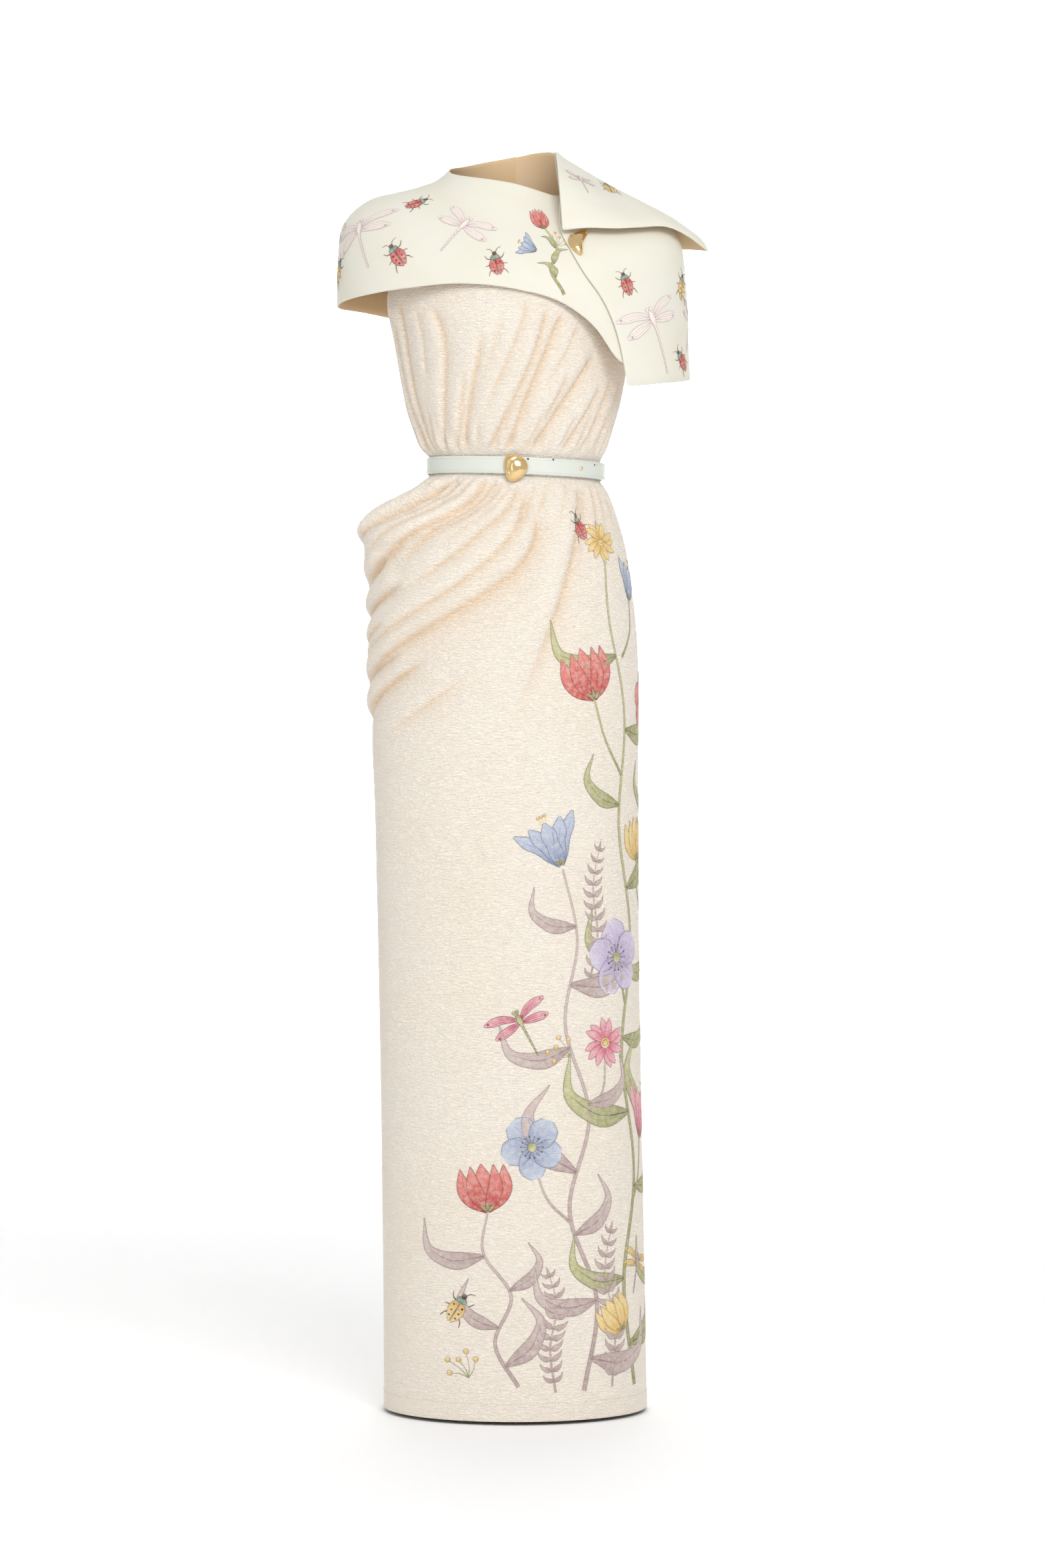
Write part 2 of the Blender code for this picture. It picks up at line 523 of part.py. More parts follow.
def lapel_point(rows, u, v):
    """A point of the lapel. u runs along it from 0 to 1, v runs from the crest to the outer edge."""
    knots = np.linspace(0, 1, len(rows))
    angle, x, y, z, belly, curl = (smooth(u, knots, [row[i] for row in rows]) for i in range(6))
    level = cape_level(angle, smooth(angle, CREST_ANGLES, CREST_Z))
    crest = cape_surface(angle, level, np.zeros_like(level) + SEAM_GAP)
    edge = np.stack([x, y, z], axis=-1)
    belly_way = np.stack([np.zeros_like(y), y / 0.11, np.full_like(y, 0.6)], axis=-1)
    belly_way /= np.linalg.norm(belly_way, axis=-1, keepdims=True)
    point = crest + (edge - crest) * v[..., None]
    point = point + belly_way * (belly * np.sin(np.pi * v) ** 0.8)[..., None]
    point[..., 2] += curl * 4.24 * v**3 * np.sqrt(np.clip(1 - v, 0, 1))
    return point


def lapel_grid(columns_front, columns_back, rows):
    """The lapel's points from its back end round to its front corner."""
    v = np.linspace(0, 1, rows)[:, None]
    back = np.broadcast_arrays(np.linspace(1, 0, columns_back)[None, :], v)
    front = np.broadcast_arrays(np.linspace(1, 0, columns_front)[None, 1:], v)
    return np.concatenate([lapel_point(LAPEL_BACK, *back), lapel_point(LAPEL_FRONT, *front)], axis=1)


def grid_normals(grid):
    turn = np.gradient(grid, axis=1)
    fall = np.gradient(grid, axis=0)
    normal = np.cross(turn, fall)
    return normal / np.linalg.norm(normal, axis=-1, keepdims=True)


def collar_lapel(finish):
    inner = lapel_grid(16, 10, 10)
    return wall("collar_lapel", inner + grid_normals(inner) * CAPE_WALL, inner, finish)


def belt_point(angle, height, out):
    """A point round the waist, height above the belt's middle and out from the cloth."""
    last = len(BODICE_ROWS) - 1
    base = ring_point(BODICE_ROWS, np.arange(last + 1), angle, np.full_like(angle, last))
    c = np.cos(np.radians(angle))
    s = np.sin(np.radians(angle))
    half_x = np.where(c > 0, WAIST_RIGHT, WAIST_LEFT)
    half_y = np.where(s > 0, WAIST_FRONT, WAIST_BACK)
    way = np.stack([c / half_x, -s / half_y, np.zeros_like(c)], axis=-1)
    way /= np.linalg.norm(way, axis=-1, keepdims=True)
    point = base + way * out[..., None]
    point[..., 2] = WAIST_Z + WAIST_SLOPE_X * point[..., 0] + WAIST_SLOPE_Y * point[..., 1] + height
    return point


def belt_strap(finish):
    """One strap: its free end lies over its own beginning on the front left."""
    angle = np.concatenate([np.linspace(BELT_TIP_ANGLE, 14, 6), np.linspace(21, BELT_HIDDEN_END, 54)])
    lift = BELT_LAYER * (1 - ease((angle - 88) / 50))
    tip = np.clip((angle - BELT_TIP_ANGLE) / 9, 0, 1)
    half = BELT_HEIGHT / 2 * (0.55 + 0.45 * np.sqrt(1 - (1 - tip) ** 2))
    heights = np.linspace(1, -1, 3)[:, None] * half[None, :]
    angle = np.broadcast_to(angle[None, :], heights.shape)
    near = BELT_CLEAR + np.broadcast_to(lift[None, :], heights.shape)
    outer = belt_point(angle, heights, near + BELT_WALL)
    inner = belt_point(angle, heights, near)
    return wall("belt_strap", outer, inner, finish)


def dome(name, middle, facing, up, radius_of, depth, rings, sides, finish):
    """A rounded boss with a flat back: facing is where it looks, radius_of gives its outline."""
    facing = np.asarray(facing, float) / np.linalg.norm(facing)
    up = np.asarray(up, float) - facing * np.dot(up, facing)
    up /= np.linalg.norm(up)
    across = np.cross(up, facing)
    turn = np.linspace(0, 2 * np.pi, sides, endpoint=False)
    radius = radius_of(turn)
    points = []
    for k in range(rings):
        lean = 0.5 * np.pi * k / rings
        size = np.cos(lean) * radius
        for a, r in zip(turn, size):
            flat = across * r * np.cos(a) + up * r * np.sin(a)
            points.append(middle + flat + facing * depth * np.sin(lean))
    points.append(middle + facing * depth)
    faces = [tuple(reversed(range(sides)))]
    for k in range(rings - 1):
        for j in range(sides):
            nxt = (j + 1) % sides
            faces.append((k * sides + j, k * sides + nxt, (k + 1) * sides + nxt, (k + 1) * sides + j))
    last = (rings - 1) * sides
    for j in range(sides):
        faces.append((last + j, last + (j + 1) % sides, rings * sides))
    return add_object(name, points, faces, finish)


def pebble_outline(turn):
    """The buckle's radius at each turn: wide at the top left, a soft point at the bottom."""
    return smooth(np.degrees(turn), BUCKLE_ANGLES, BUCKLE_RADII)


def trim_clear():
    """How far out of the cloth trim on the doubled belt sits."""
    return BELT_CLEAR + BELT_LAYER + BELT_WALL + SEAM_GAP


def belt_buckle(finish):
    front = belt_point(np.array([90.0]), np.array([0.0]), np.array([trim_clear()]))[0]
    middle = np.array([BUCKLE_X, front[1], BUCKLE_Z])
    return dome("belt_buckle", middle, (0, -1, 0), (0, 0, 1), pebble_outline, BUCKLE_DEPTH, 7, 30, finish)


def stud_outline(turn):
    return np.full_like(turn, STUD_RADIUS)


def belt_stud(finish):
    angle = np.array([float(STUD_ANGLE)])
    middle = belt_point(angle, np.array([0.0]), np.array([trim_clear()]))[0]
    away = middle - belt_point(angle, np.array([0.0]), np.array([0.0]))[0]
    away[2] = 0
    return dome("belt_stud", middle, away, (0, 0, 1), stud_outline, STUD_DEPTH, 3, 12, finish)


def brooch(finish):
    """A curled gold leaf that pins the left half over the wrap."""
    down = np.linspace(0, 1, 12)[:, None]
    across = np.linspace(1, 0, 9)[None, :]
    knots = np.linspace(0, 1, len(BROOCH_Z))
    z = smooth(down, knots, BROOCH_Z) + 0 * across
    left = smooth(down, knots, BROOCH_LEFT)
    right = smooth(down, knots, BROOCH_RIGHT)
    angle, at = cape_place(left + (right - left) * across, z)
    rise = BROOCH_DOME * np.sin(np.pi * across) ** 0.7 * np.sin(np.pi * (0.12 + 0.80 * down)) ** 0.6
    outer = cape_surface(angle, at, 2 * SEAM_GAP + BROOCH_EDGE + rise)
    inner = cape_surface(angle, at, 2 * SEAM_GAP + 0 * rise)
    return wall("brooch", outer, inner, finish)


def main():
    for old in list(bpy.data.objects):
        bpy.data.objects.remove(old)
    crepe = material("crepe", (0.86, 0.78, 0.68), 0.85)
    ivory = material("ivory_twill", (0.87, 0.84, 0.76), 0.75)
    leather = material("pale_leather", (0.80, 0.83, 0.78), 0.45)
    gold = material("polished_gold", (0.83, 0.62, 0.30), 0.18, 1.0)
    bodice_panel("bodice_front", 0, 180, 36, crepe)
    bodice_panel("bodice_back", 180, 360, 15, crepe)
    skirt_panel("skirt_front", SKIRT_RIGHT_SEAM, SKIRT_LEFT_SEAM, 36, 150, crepe)
    skirt_panel("skirt_back", SKIRT_LEFT_SEAM, 360 + SKIRT_RIGHT_SEAM, 11, 220, crepe)
    cape_wrap(ivory)
    cape_left(ivory)
    collar_lapel(ivory)
    belt_strap(leather)
    belt_buckle(gold)
    belt_stud(gold)
    brooch(gold)


main()
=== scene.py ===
# Looks for a floor-length draped crepe evening dress with a wrap cape, turned lapel, belt and gold trim.
# Metres, +Z up, the front towards -Y. Angles run round the body: 0 viewer's right, 90 front, 180 left.

import math
import bpy
import numpy as np
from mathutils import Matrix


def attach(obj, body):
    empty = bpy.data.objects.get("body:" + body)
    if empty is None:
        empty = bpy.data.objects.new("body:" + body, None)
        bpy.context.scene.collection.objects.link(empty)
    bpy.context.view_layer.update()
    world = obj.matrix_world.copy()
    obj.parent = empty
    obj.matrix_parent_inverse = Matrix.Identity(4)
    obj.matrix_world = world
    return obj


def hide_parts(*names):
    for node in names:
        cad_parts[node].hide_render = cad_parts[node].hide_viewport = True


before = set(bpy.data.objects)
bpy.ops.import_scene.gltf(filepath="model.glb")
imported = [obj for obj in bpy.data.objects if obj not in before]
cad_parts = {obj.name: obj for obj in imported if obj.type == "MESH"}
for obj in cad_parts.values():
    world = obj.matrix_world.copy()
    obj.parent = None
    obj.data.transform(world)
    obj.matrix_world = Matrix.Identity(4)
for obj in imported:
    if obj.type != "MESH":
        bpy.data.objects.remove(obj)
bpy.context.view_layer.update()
print("frame loaded")

cloth = {
    "seamGap": 0.0003,
    "crepeWall": 0.0015,
    "capeWall": 0.0022,
    "underCape": 0.0036,
    "arcPerDegree": 0.0024,
}
waist = {
    "z": -0.3225, "right": 0.1015, "left": 0.1025, "front": 0.0835, "back": 0.0775,
    "slopeX": -0.033, "slopeY": 0.020, "slopeFade": 0.060,
}
gathers = {"height": 0.0016, "count": 19, "rise": 0.075}
columns = ("rightX", "rightZ", "leftX", "leftZ", "frontY", "frontZ", "backY", "backZ")

# Cape levels from above the collar to below the sleeve hem
capeRows = (
    (0.0560, 0.075, 0.0660, 0.075, 0.0570, 0.070, 0.0785, 0.075),
    (0.0590, 0.050, 0.0755, 0.043, 0.0640, 0.038, 0.0795, 0.048),
    (0.0730, 0.018, 0.0930, 0.0245, 0.0720, 0.011, 0.0830, 0.024),
    (0.0980, 0.000, 0.1180, 0.0150, 0.0820, -0.012, 0.0900, 0.002),
    (0.1320, -0.012, 0.1450, 0.0085, 0.0935, -0.033, 0.0980, -0.020),
    (0.1600, -0.020, 0.1720, 0.0015, 0.1060, -0.053, 0.1050, -0.042),
    (0.1810, -0.029, 0.1940, -0.0135, 0.1180, -0.074, 0.1100, -0.064),
    (0.1930, -0.041, 0.2075, -0.0330, 0.1270, -0.093, 0.1130, -0.085),
    (0.2010, -0.060, 0.2120, -0.0580, 0.1320, -0.110, 0.1145, -0.105),
    (0.2045, -0.090, 0.2135, -0.0900, 0.1350, -0.130, 0.1150, -0.125),
    (0.2070, -0.125, 0.2140, -0.1350, 0.1360, -0.160, 0.1150, -0.155),
    (0.2085, -0.175, 0.2140, -0.1900, 0.1340, -0.200, 0.1140, -0.195),
    (0.2125, -0.250, 0.2140, -0.2600, 0.1300, -0.260, 0.1120, -0.260),
)
# Bodice: the hidden yoke, then the rings down to the waist
bodiceRows = (
    (0.0620, 0.008, 0.0924, 0.0221, 0.0655, -0.012, 0.0808, 0.0226),
    (0.0960, -0.009, 0.1100, 0.0100, 0.0785, -0.036, 0.0850, -0.004),
    (0.1300, -0.022, 0.1380, -0.002, 0.0985, -0.056, 0.0940, -0.034),
    (0.1420, -0.050, 0.1510, -0.036, 0.1150, -0.080, 0.1010, -0.065),
    (0.1435, -0.085, 0.1530, -0.078, 0.1240, -0.105, 0.1045, -0.097),
    (0.1420, -0.127, 0.1535, -0.127, 0.1290, -0.135, 0.1045, -0.130),
    (0.1385, -0.165, 0.1455, -0.165, 0.1300, -0.165, 0.1010, -0.165),
    (0.1345, -0.200, 0.1395, -0.200, 0.1230, -0.200, 0.0970, -0.200),
    (0.1258, -0.246, 0.1312, -0.246, 0.1090, -0.246, 0.0910, -0.246),
    (0.1122, -0.286, 0.1190, -0.286, 0.0950, -0.286, 0.0850, -0.286),
    (0.1058, -0.302, 0.1118, -0.302, 0.0890, -0.302, 0.0815, -0.302),
    (0.1022, -0.3115, 0.1032, -0.3115, 0.0842, -0.3115, 0.0782, -0.3115),
    (waist["right"], waist["z"], waist["left"], waist["z"],
     waist["front"], waist["z"], waist["back"], waist["z"]),
)
armhole = {
    "rows": (0, 1.2, 2.0, 2.5, 3.0, 3.6, 4.2, 4.7, 5.0, 12),
    "inset": (0, 0, 0, 17, 29, 31, 22, 9, 0, 0),
}
# Skirt: z, then half widths right and left and half depths front and back
skirtRows = (
    (waist["z"], waist["right"], waist["left"], waist["front"], waist["back"]),
    (-0.3335, 0.1022, 0.1029, 0.0842, 0.0782),
    (-0.3420, 0.1070, 0.1125, 0.0868, 0.0840),
    (-0.3520, 0.1120, 0.1195, 0.0905, 0.0890),
    (-0.3630, 0.1165, 0.1310, 0.0945, 0.0945),
    (-0.3750, 0.1210, 0.1495, 0.0988, 0.1000),
    (-0.3870, 0.1250, 0.1715, 0.1030, 0.1050),
    (-0.3960, 0.1278, 0.1840, 0.1052, 0.1085),
    (-0.4060, 0.1303, 0.1865, 0.1072, 0.1115),
    (-0.4200, 0.1335, 0.1815, 0.1098, 0.1155),
    (-0.4350, 0.1362, 0.1780, 0.1120, 0.1190),
    (-0.4700, 0.1408, 0.1755, 0.1155, 0.1230),
    (-0.5000, 0.1445, 0.1765, 0.1180, 0.1250),
    (-0.5600, 0.1480, 0.1760, 0.1200, 0.1260),
    (-0.5950, 0.1480, 0.1765, 0.1205, 0.1258),
    (-0.6400, 0.1480, 0.1730, 0.1210, 0.1250),
    (-0.7000, 0.1480, 0.1695, 0.1215, 0.1245),
    (-0.8200, 0.1485, 0.1662, 0.1230, 0.1240),
    (-1.0500, 0.1510, 0.1615, 0.1260, 0.1260),
    (-1.2500, 0.1545, 0.1585, 0.1285, 0.1290),
    (-1.445, 0.1580, 0.1570, 0.1310, 0.1310),
)
skirt = {"rightSeam": -6, "leftSeam": 204, "hemZ": -1.445, "hemTurn": 0.022}

# Creases: three places as angle and z, ridge height and reach, trough depth and spread, fades, hand
foldColumns = (
    "a0", "z0", "a1", "z1", "a2", "z2", "ridge", "reach", "trough", "spread", "fadeIn", "fadeOut", "hand",
)
skirtFolds = (
    (130, -0.333, 152, -0.374, 198, -0.424, 0.006, 0.010, 0.010, 0.012, 0.05, 0.25, 1),
    (115, -0.333, 134, -0.383, 176, -0.440, 0.002, 0.009, 0.004, 0.012, 0.05, 0.40, 1),
    (109, -0.336, 132, -0.405, 198, -0.478, 0.006, 0.011, 0.009, 0.018, 0.05, 0.25, 1),
    (138, -0.460, 162, -0.484, 208, -0.516, 0.006, 0.011, 0.008, 0.016, 0.30, 0.30, 1),
    (101, -0.336, 122, -0.400, 150, -0.452, 0.003, 0.010, 0.004, 0.018, 0.05, 0.45, 1),
    (88, -0.341, 108, -0.418, 152, -0.489, 0.003, 0.013, 0.005, 0.022, 0.10, 0.40, 1),
    (84, -0.346, 114, -0.468, 202, -0.566, 0.004, 0.013, 0.005, 0.024, 0.10, 0.30, 1),
    (79, -0.375, 104, -0.480, 206, -0.604, 0.005, 0.014, 0.008, 0.028, 0.15, 0.20, 1),
    (126, -0.550, 156, -0.590, 206, -0.640, 0.005, 0.011, 0.006, 0.016, 0.30, 0.30, 1),
    (46, -0.338, 66, -0.475, 96, -0.655, 0.003, 0.013, 0.005, 0.022, 0.08, 0.45, 1),
    (40, -0.342, 49, -0.390, 62, -0.490, 0.001, 0.010, 0.002, 0.014, 0.10, 0.50, 1),
    (268, -0.338, 246, -0.400, 210, -0.462, 0.004, 0.012, 0.006, 0.018, 0.08, 0.35, -1),
    (284, -0.338, 262, -0.430, 216, -0.530, 0.004, 0.014, 0.006, 0.024, 0.10, 0.35, -1),
    (300, -0.345, 282, -0.470, 222, -0.600, 0.003, 0.014, 0.005, 0.028, 0.15, 0.40, -1),
    (322, -0.340, 312, -0.410, 296, -0.520, 0.002, 0.012, 0.003, 0.020, 0.10, 0.50, -1),
)
# Finer creases between them, too small for the solids
skirtWrinkles = (
    (122, -0.336, 140, -0.372, 168, -0.408, 0.0019, 0.006, 0.0037, 0.007, 0.1, 0.5, 1),
    (96, -0.338, 112, -0.385, 138, -0.430, 0.0013, 0.006, 0.0024, 0.008, 0.1, 0.5, 1),
    (92, -0.340, 106, -0.390, 128, -0.440, 0.0010, 0.007, 0.0020, 0.008, 0.2, 0.5, 1),
    (76, -0.338, 84, -0.372, 96, -0.415, 0.0010, 0.007, 0.0020, 0.008, 0.1, 0.5, 1),
    (70, -0.338, 74, -0.365, 82, -0.400, 0.0008, 0.006, 0.0017, 0.007, 0.1, 0.5, 1),
    (56, -0.338, 62, -0.372, 70, -0.415, 0.0008, 0.006, 0.0017, 0.007, 0.1, 0.5, 1),
    (33, -0.342, 37, -0.380, 44, -0.430, 0.0013, 0.006, 0.0026, 0.007, 0.1, 0.5, 1),
    (26, -0.342, 29, -0.376, 33, -0.420, 0.0010, 0.006, 0.0020, 0.006, 0.1, 0.5, 1),
    (18, -0.342, 19, -0.372, 21, -0.410, 0.0008, 0.006, 0.0017, 0.006, 0.1, 0.5, 1),
    (150, -0.505, 168, -0.522, 200, -0.545, 0.0026, 0.007, 0.0041, 0.008, 0.3, 0.4, 1),
    (140, -0.545, 160, -0.560, 196, -0.585, 0.0022, 0.007, 0.0034, 0.009, 0.3, 0.4, 1),
    (152, -0.430, 166, -0.448, 190, -0.462, 0.0026, 0.006, 0.0041, 0.007, 0.3, 0.4, 1),
    (104, -0.560, 128, -0.610, 160, -0.650, 0.0016, 0.010, 0.0027, 0.014, 0.4, 0.5, 1),
)
bodiceWrinkles = (
    (14, -0.255, 17, -0.288, 20, -0.318, 0.0010, 0.005, 0.0020, 0.005, 0.3, 0.05, 1),
    (25, -0.250, 29, -0.285, 34, -0.318, 0.0010, 0.005, 0.0020, 0.005, 0.3, 0.05, 1),
    (40, -0.255, 45, -0.288, 51, -0.318, 0.0010, 0.005, 0.0018, 0.005, 0.3, 0.05, 1),
    (52, -0.262, 58, -0.290, 65, -0.318, 0.0010, 0.005, 0.0018, 0.005, 0.3, 0.05, 1),
    (72, -0.258, 79, -0.288, 88, -0.318, 0.0010, 0.005, 0.0018, 0.005, 0.3, 0.05, 1),
    (92, -0.262, 99, -0.290, 105, -0.318, 0.0008, 0.005, 0.0016, 0.005, 0.3, 0.05, 1),
    (110, -0.270, 113, -0.294, 117, -0.318, 0.0008, 0.005, 0.0016, 0.005, 0.3, 0.05, 1),
    (122, -0.268, 128, -0.294, 134, -0.318, 0.0008, 0.005, 0.0016, 0.005, 0.3, 0.05, 1),
    (143, -0.250, 146, -0.285, 146, -0.318, 0.0010, 0.005, 0.0020, 0.005, 0.3, 0.05, 1),
    (160, -0.240, 160, -0.280, 154, -0.318, 0.0010, 0.005, 0.0020, 0.005, 0.3, 0.05, 1),
    (172, -0.230, 172, -0.275, 166, -0.318, 0.0010, 0.005, 0.0020, 0.005, 0.3, 0.05, 1),
    (56, -0.150, 66, -0.205, 84, -0.262, 0.0010, 0.006, 0.0018, 0.006, 0.2, 0.50, 1),
    (97, -0.150, 102, -0.200, 114, -0.250, 0.0008, 0.006, 0.0014, 0.006, 0.2, 0.50, 1),
    (142, -0.130, 140, -0.190, 144, -0.250, 0.0008, 0.006, 0.0016, 0.006, 0.2, 0.40, 1),
)
bodiceFolds = (
    (153, -0.118, 156, -0.205, 150, -0.318, 0.002, 0.008, 0.004, 0.009, 0.15, 0.05, 1),
    (166, -0.140, 166, -0.204, 158, -0.318, 0.002, 0.008, 0.003, 0.008, 0.20, 0.05, 1),
    (132, -0.136, 127, -0.205, 140, -0.318, 0.002, 0.009, 0.004, 0.010, 0.15, 0.05, 1),
    (116, -0.205, 120, -0.258, 131, -0.318, 0.002, 0.008, 0.003, 0.008, 0.35, 0.05, 1),
    (105, -0.165, 112, -0.232, 125, -0.318, 0.002, 0.009, 0.004, 0.009, 0.25, 0.05, 1),
    (85, -0.130, 91, -0.190, 112, -0.285, 0.002, 0.009, 0.003, 0.010, 0.15, 0.30, 1),
    (74, -0.138, 86, -0.228, 110, -0.318, 0.003, 0.010, 0.005, 0.010, 0.10, 0.05, 1),
    (66, -0.145, 79, -0.222, 97, -0.318, 0.003, 0.010, 0.005, 0.010, 0.10, 0.05, 1),
    (61, -0.215, 66, -0.242, 76, -0.285, 0.002, 0.008, 0.003, 0.008, 0.30, 0.30, 1),
    (45, -0.190, 62, -0.250, 82, -0.318, 0.003, 0.012, 0.005, 0.014, 0.15, 0.10, 1),
    (37, -0.225, 48, -0.271, 60, -0.318, 0.002, 0.009, 0.004, 0.009, 0.20, 0.05, 1),
    (29, -0.210, 35, -0.265, 45, -0.318, 0.002, 0.009, 0.004, 0.008, 0.20, 0.05, 1),
    (19, -0.205, 22, -0.262, 30, -0.318, 0.002, 0.008, 0.003, 0.008, 0.20, 0.05, 1),
    (196, -0.180, 200, -0.245, 214, -0.318, 0.002, 0.009, 0.004, 0.010, 0.30, 0.05, 1),
    (222, -0.190, 230, -0.250, 240, -0.318, 0.002, 0.009, 0.004, 0.010, 0.30, 0.05, 1),
    (250, -0.170, 254, -0.240, 260, -0.318, 0.002, 0.009, 0.004, 0.010, 0.30, 0.05, 1),
    (290, -0.170, 286, -0.240, 280, -0.318, 0.002, 0.009, 0.004, 0.010, 0.30, 0.05, -1),
    (318, -0.190, 310, -0.250, 300, -0.318, 0.002, 0.009, 0.004, 0.010, 0.30, 0.05, -1),
    (344, -0.180, 338, -0.245, 326, -0.318, 0.002, 0.009, 0.004, 0.010, 0.30, 0.05, -1),
)
pouf = {
    "a0": 132, "z0": -0.334, "a1": 158, "z1": -0.366, "a2": 214, "z2": -0.394,
    "height": 0.009, "up": 0.020, "down": 0.018,
}
wrap = {
    "neckAngles": (20, 50, 70, 90, 110, 130, 150, 180, 210, 240, 270),
    "neckZ": (-0.009, -0.003, 0.004, 0.0100, 0.0158, 0.021, 0.027, 0.038, 0.046, 0.0555, 0.0635),
    "hemAngles": (20, 44, 54, 62, 72, 90, 108, 125, 145, 160, 180, 215, 245, 270),
    "hemZ": (-0.212, -0.208, -0.200, -0.166, -0.140, -0.1205, -0.1135, -0.1165, -0.121, -0.124, -0.127,
             -0.1285, -0.143, -0.165),
    "endTop": 26, "endHem": 46,
}
leftHalf = {
    "crestAngles": (-90, -60, -36, -15, 0, 18, 34, 60),
    "crestZ": (0.0630, 0.0665, 0.0635, 0.0540, 0.0475, 0.0475, 0.0520, 0.042),
    "hemAngles": (-90, -60, -30, 0, 30, 60, 90),
    "hemZ": (-0.165, -0.183, -0.203, -0.2136, -0.2240, -0.2345, -0.240),
    "edgeZ": (-0.236, -0.213, -0.187, -0.160, -0.134, -0.098, -0.071, -0.054, 0.000, 0.050),
    "edgeX": (0.1345, 0.1305, 0.1255, 0.1175, 0.1055, 0.0805, 0.0655, 0.0567, 0.0540, 0.0485),
}
# Lapel: crest angle, outer edge x, y, z, belly and curl
lapelFront = (
    (34, 0.0565, -0.108, -0.0490, 0.0160, 0.0000),
    (22, 0.0860, -0.106, -0.0462, 0.0130, 0.0010),
    (10, 0.1180, -0.098, -0.0460, 0.0090, 0.0030),
    (-2, 0.1460, -0.083, -0.0430, 0.0040, 0.0040),
    (-12, 0.1780, -0.059, -0.0391, 0.0010, 0.0060),
    (-22, 0.2040, -0.033, -0.0462, 0.0000, 0.0085),
    (-30, 0.2300, 0.000, -0.0600, 0.0000, 0.0100),
)
lapelBack = (
    (-30, 0.2300, 0.000, -0.0600, 0.0000, 0.0100),
    (-38, 0.2040, 0.033, -0.0540, 0.0000, 0.0070),
    (-50, 0.1640, 0.068, -0.0490, 0.0030, 0.0040),
    (-62, 0.1150, 0.096, -0.0480, 0.0060, 0.0020),
    (-76, 0.0500, 0.116, -0.0500, 0.0120, 0.0000),
)


def smooth(at, knots, values):
    knots = np.asarray(knots, float)
    values = np.asarray(values, float)
    at = np.clip(at, knots[0], knots[-1])
    i = np.clip(np.searchsorted(knots, at, side="right") - 1, 0, len(knots) - 2)
    step = knots[i + 1] - knots[i]
    slope = np.gradient(values, knots)
    s = (at - knots[i]) / step
    start = (2 * s**3 - 3 * s**2 + 1) * values[i] + (s**3 - 2 * s**2 + s) * step * slope[i]
    return start + (3 * s**2 - 2 * s**3) * values[i + 1] + (s**3 - s**2) * step * slope[i + 1]


def ease(share):
    share = np.clip(share, 0, 1)
    return share * share * (3 - 2 * share)


def ringPoint(rows, knots, angle, at):
    column = {name: smooth(at, knots, [row[i] for row in rows]) for i, name in enumerate(columns)}
    c = np.cos(np.radians(angle))
    s = np.sin(np.radians(angle))
    x = np.where(c > 0, column["rightX"], column["leftX"]) * c
    y = -np.where(s > 0, column["frontY"], column["backY"]) * s
    side = np.where(c > 0, column["rightZ"], column["leftZ"])
    middle = np.where(s > 0, column["frontZ"], column["backZ"])
    return np.stack([x, y, side * c * c + middle * s * s], axis=-1)


def tilted(points):
    near = np.exp(-(((points[..., 2] - waist["z"]) / waist["slopeFade"]) ** 2))
    out = points.copy()
    out[..., 2] += near * (waist["slopeX"] * points[..., 0] + waist["slopeY"] * points[..., 1])
    return out


def capeBase(angle, at):
    return ringPoint(capeRows, np.arange(len(capeRows)), angle, at)


def bodiceBase(angle, at):
    return tilted(ringPoint(bodiceRows, np.arange(len(bodiceRows)), angle, at))


skirtRings = [(r[1], r[0], r[2], r[0], r[3], r[0], r[4], r[0]) for r in skirtRows][::-1]
skirtKnots = [row[1] for row in skirtRings]


def skirtBase(angle, z):
    return tilted(ringPoint(skirtRings, skirtKnots, angle, z))


def normalOf(base, angle, at, down):
    turn = base(angle + 0.05, at) - base(angle - 0.05, at)
    fall = (base(angle, at + 0.002) - base(angle, at - 0.002)) * down
    normal = np.cross(turn, fall)
    return normal / np.linalg.norm(normal, axis=-1, keepdims=True)


def creasePlace(angle, z, row):
    # signed distance to a crease, positive below it, and the share of the way along it
    arc = cloth["arcPerDegree"]
    s = angle * arc
    share = np.linspace(0, 1, 15)
    start, middle, end = ((row["a" + k] * arc, row["z" + k]) for k in "012")
    bend = [2 * m - (a + b) / 2 for a, m, b in zip(start, middle, end)]
    path = np.stack([
        (1 - share) ** 2 * a + 2 * share * (1 - share) * b + share**2 * c
        for a, b, c in zip(start, bend, end)
    ])
    nearest = np.full(np.broadcast(s, z).shape, np.inf)
    side = np.zeros_like(nearest)
    along = np.zeros_like(nearest)
    for k in range(len(share) - 1):
        ds, dz = path[:, k + 1] - path[:, k]
        place = np.clip(((s - path[0, k]) * ds + (z - path[1, k]) * dz) / (ds * ds + dz * dz), 0, 1)
        offS = s - path[0, k] - place * ds
        offZ = z - path[1, k] - place * dz
        far = offS**2 + offZ**2
        closer = far < nearest
        nearest = np.where(closer, far, nearest)
        side = np.where(closer, np.sign(dz * offS - ds * offZ), side)
        along = np.where(closer, (k + place) / (len(share) - 1), along)
    return np.sqrt(nearest) * np.where(side < 0, -1, 1), along


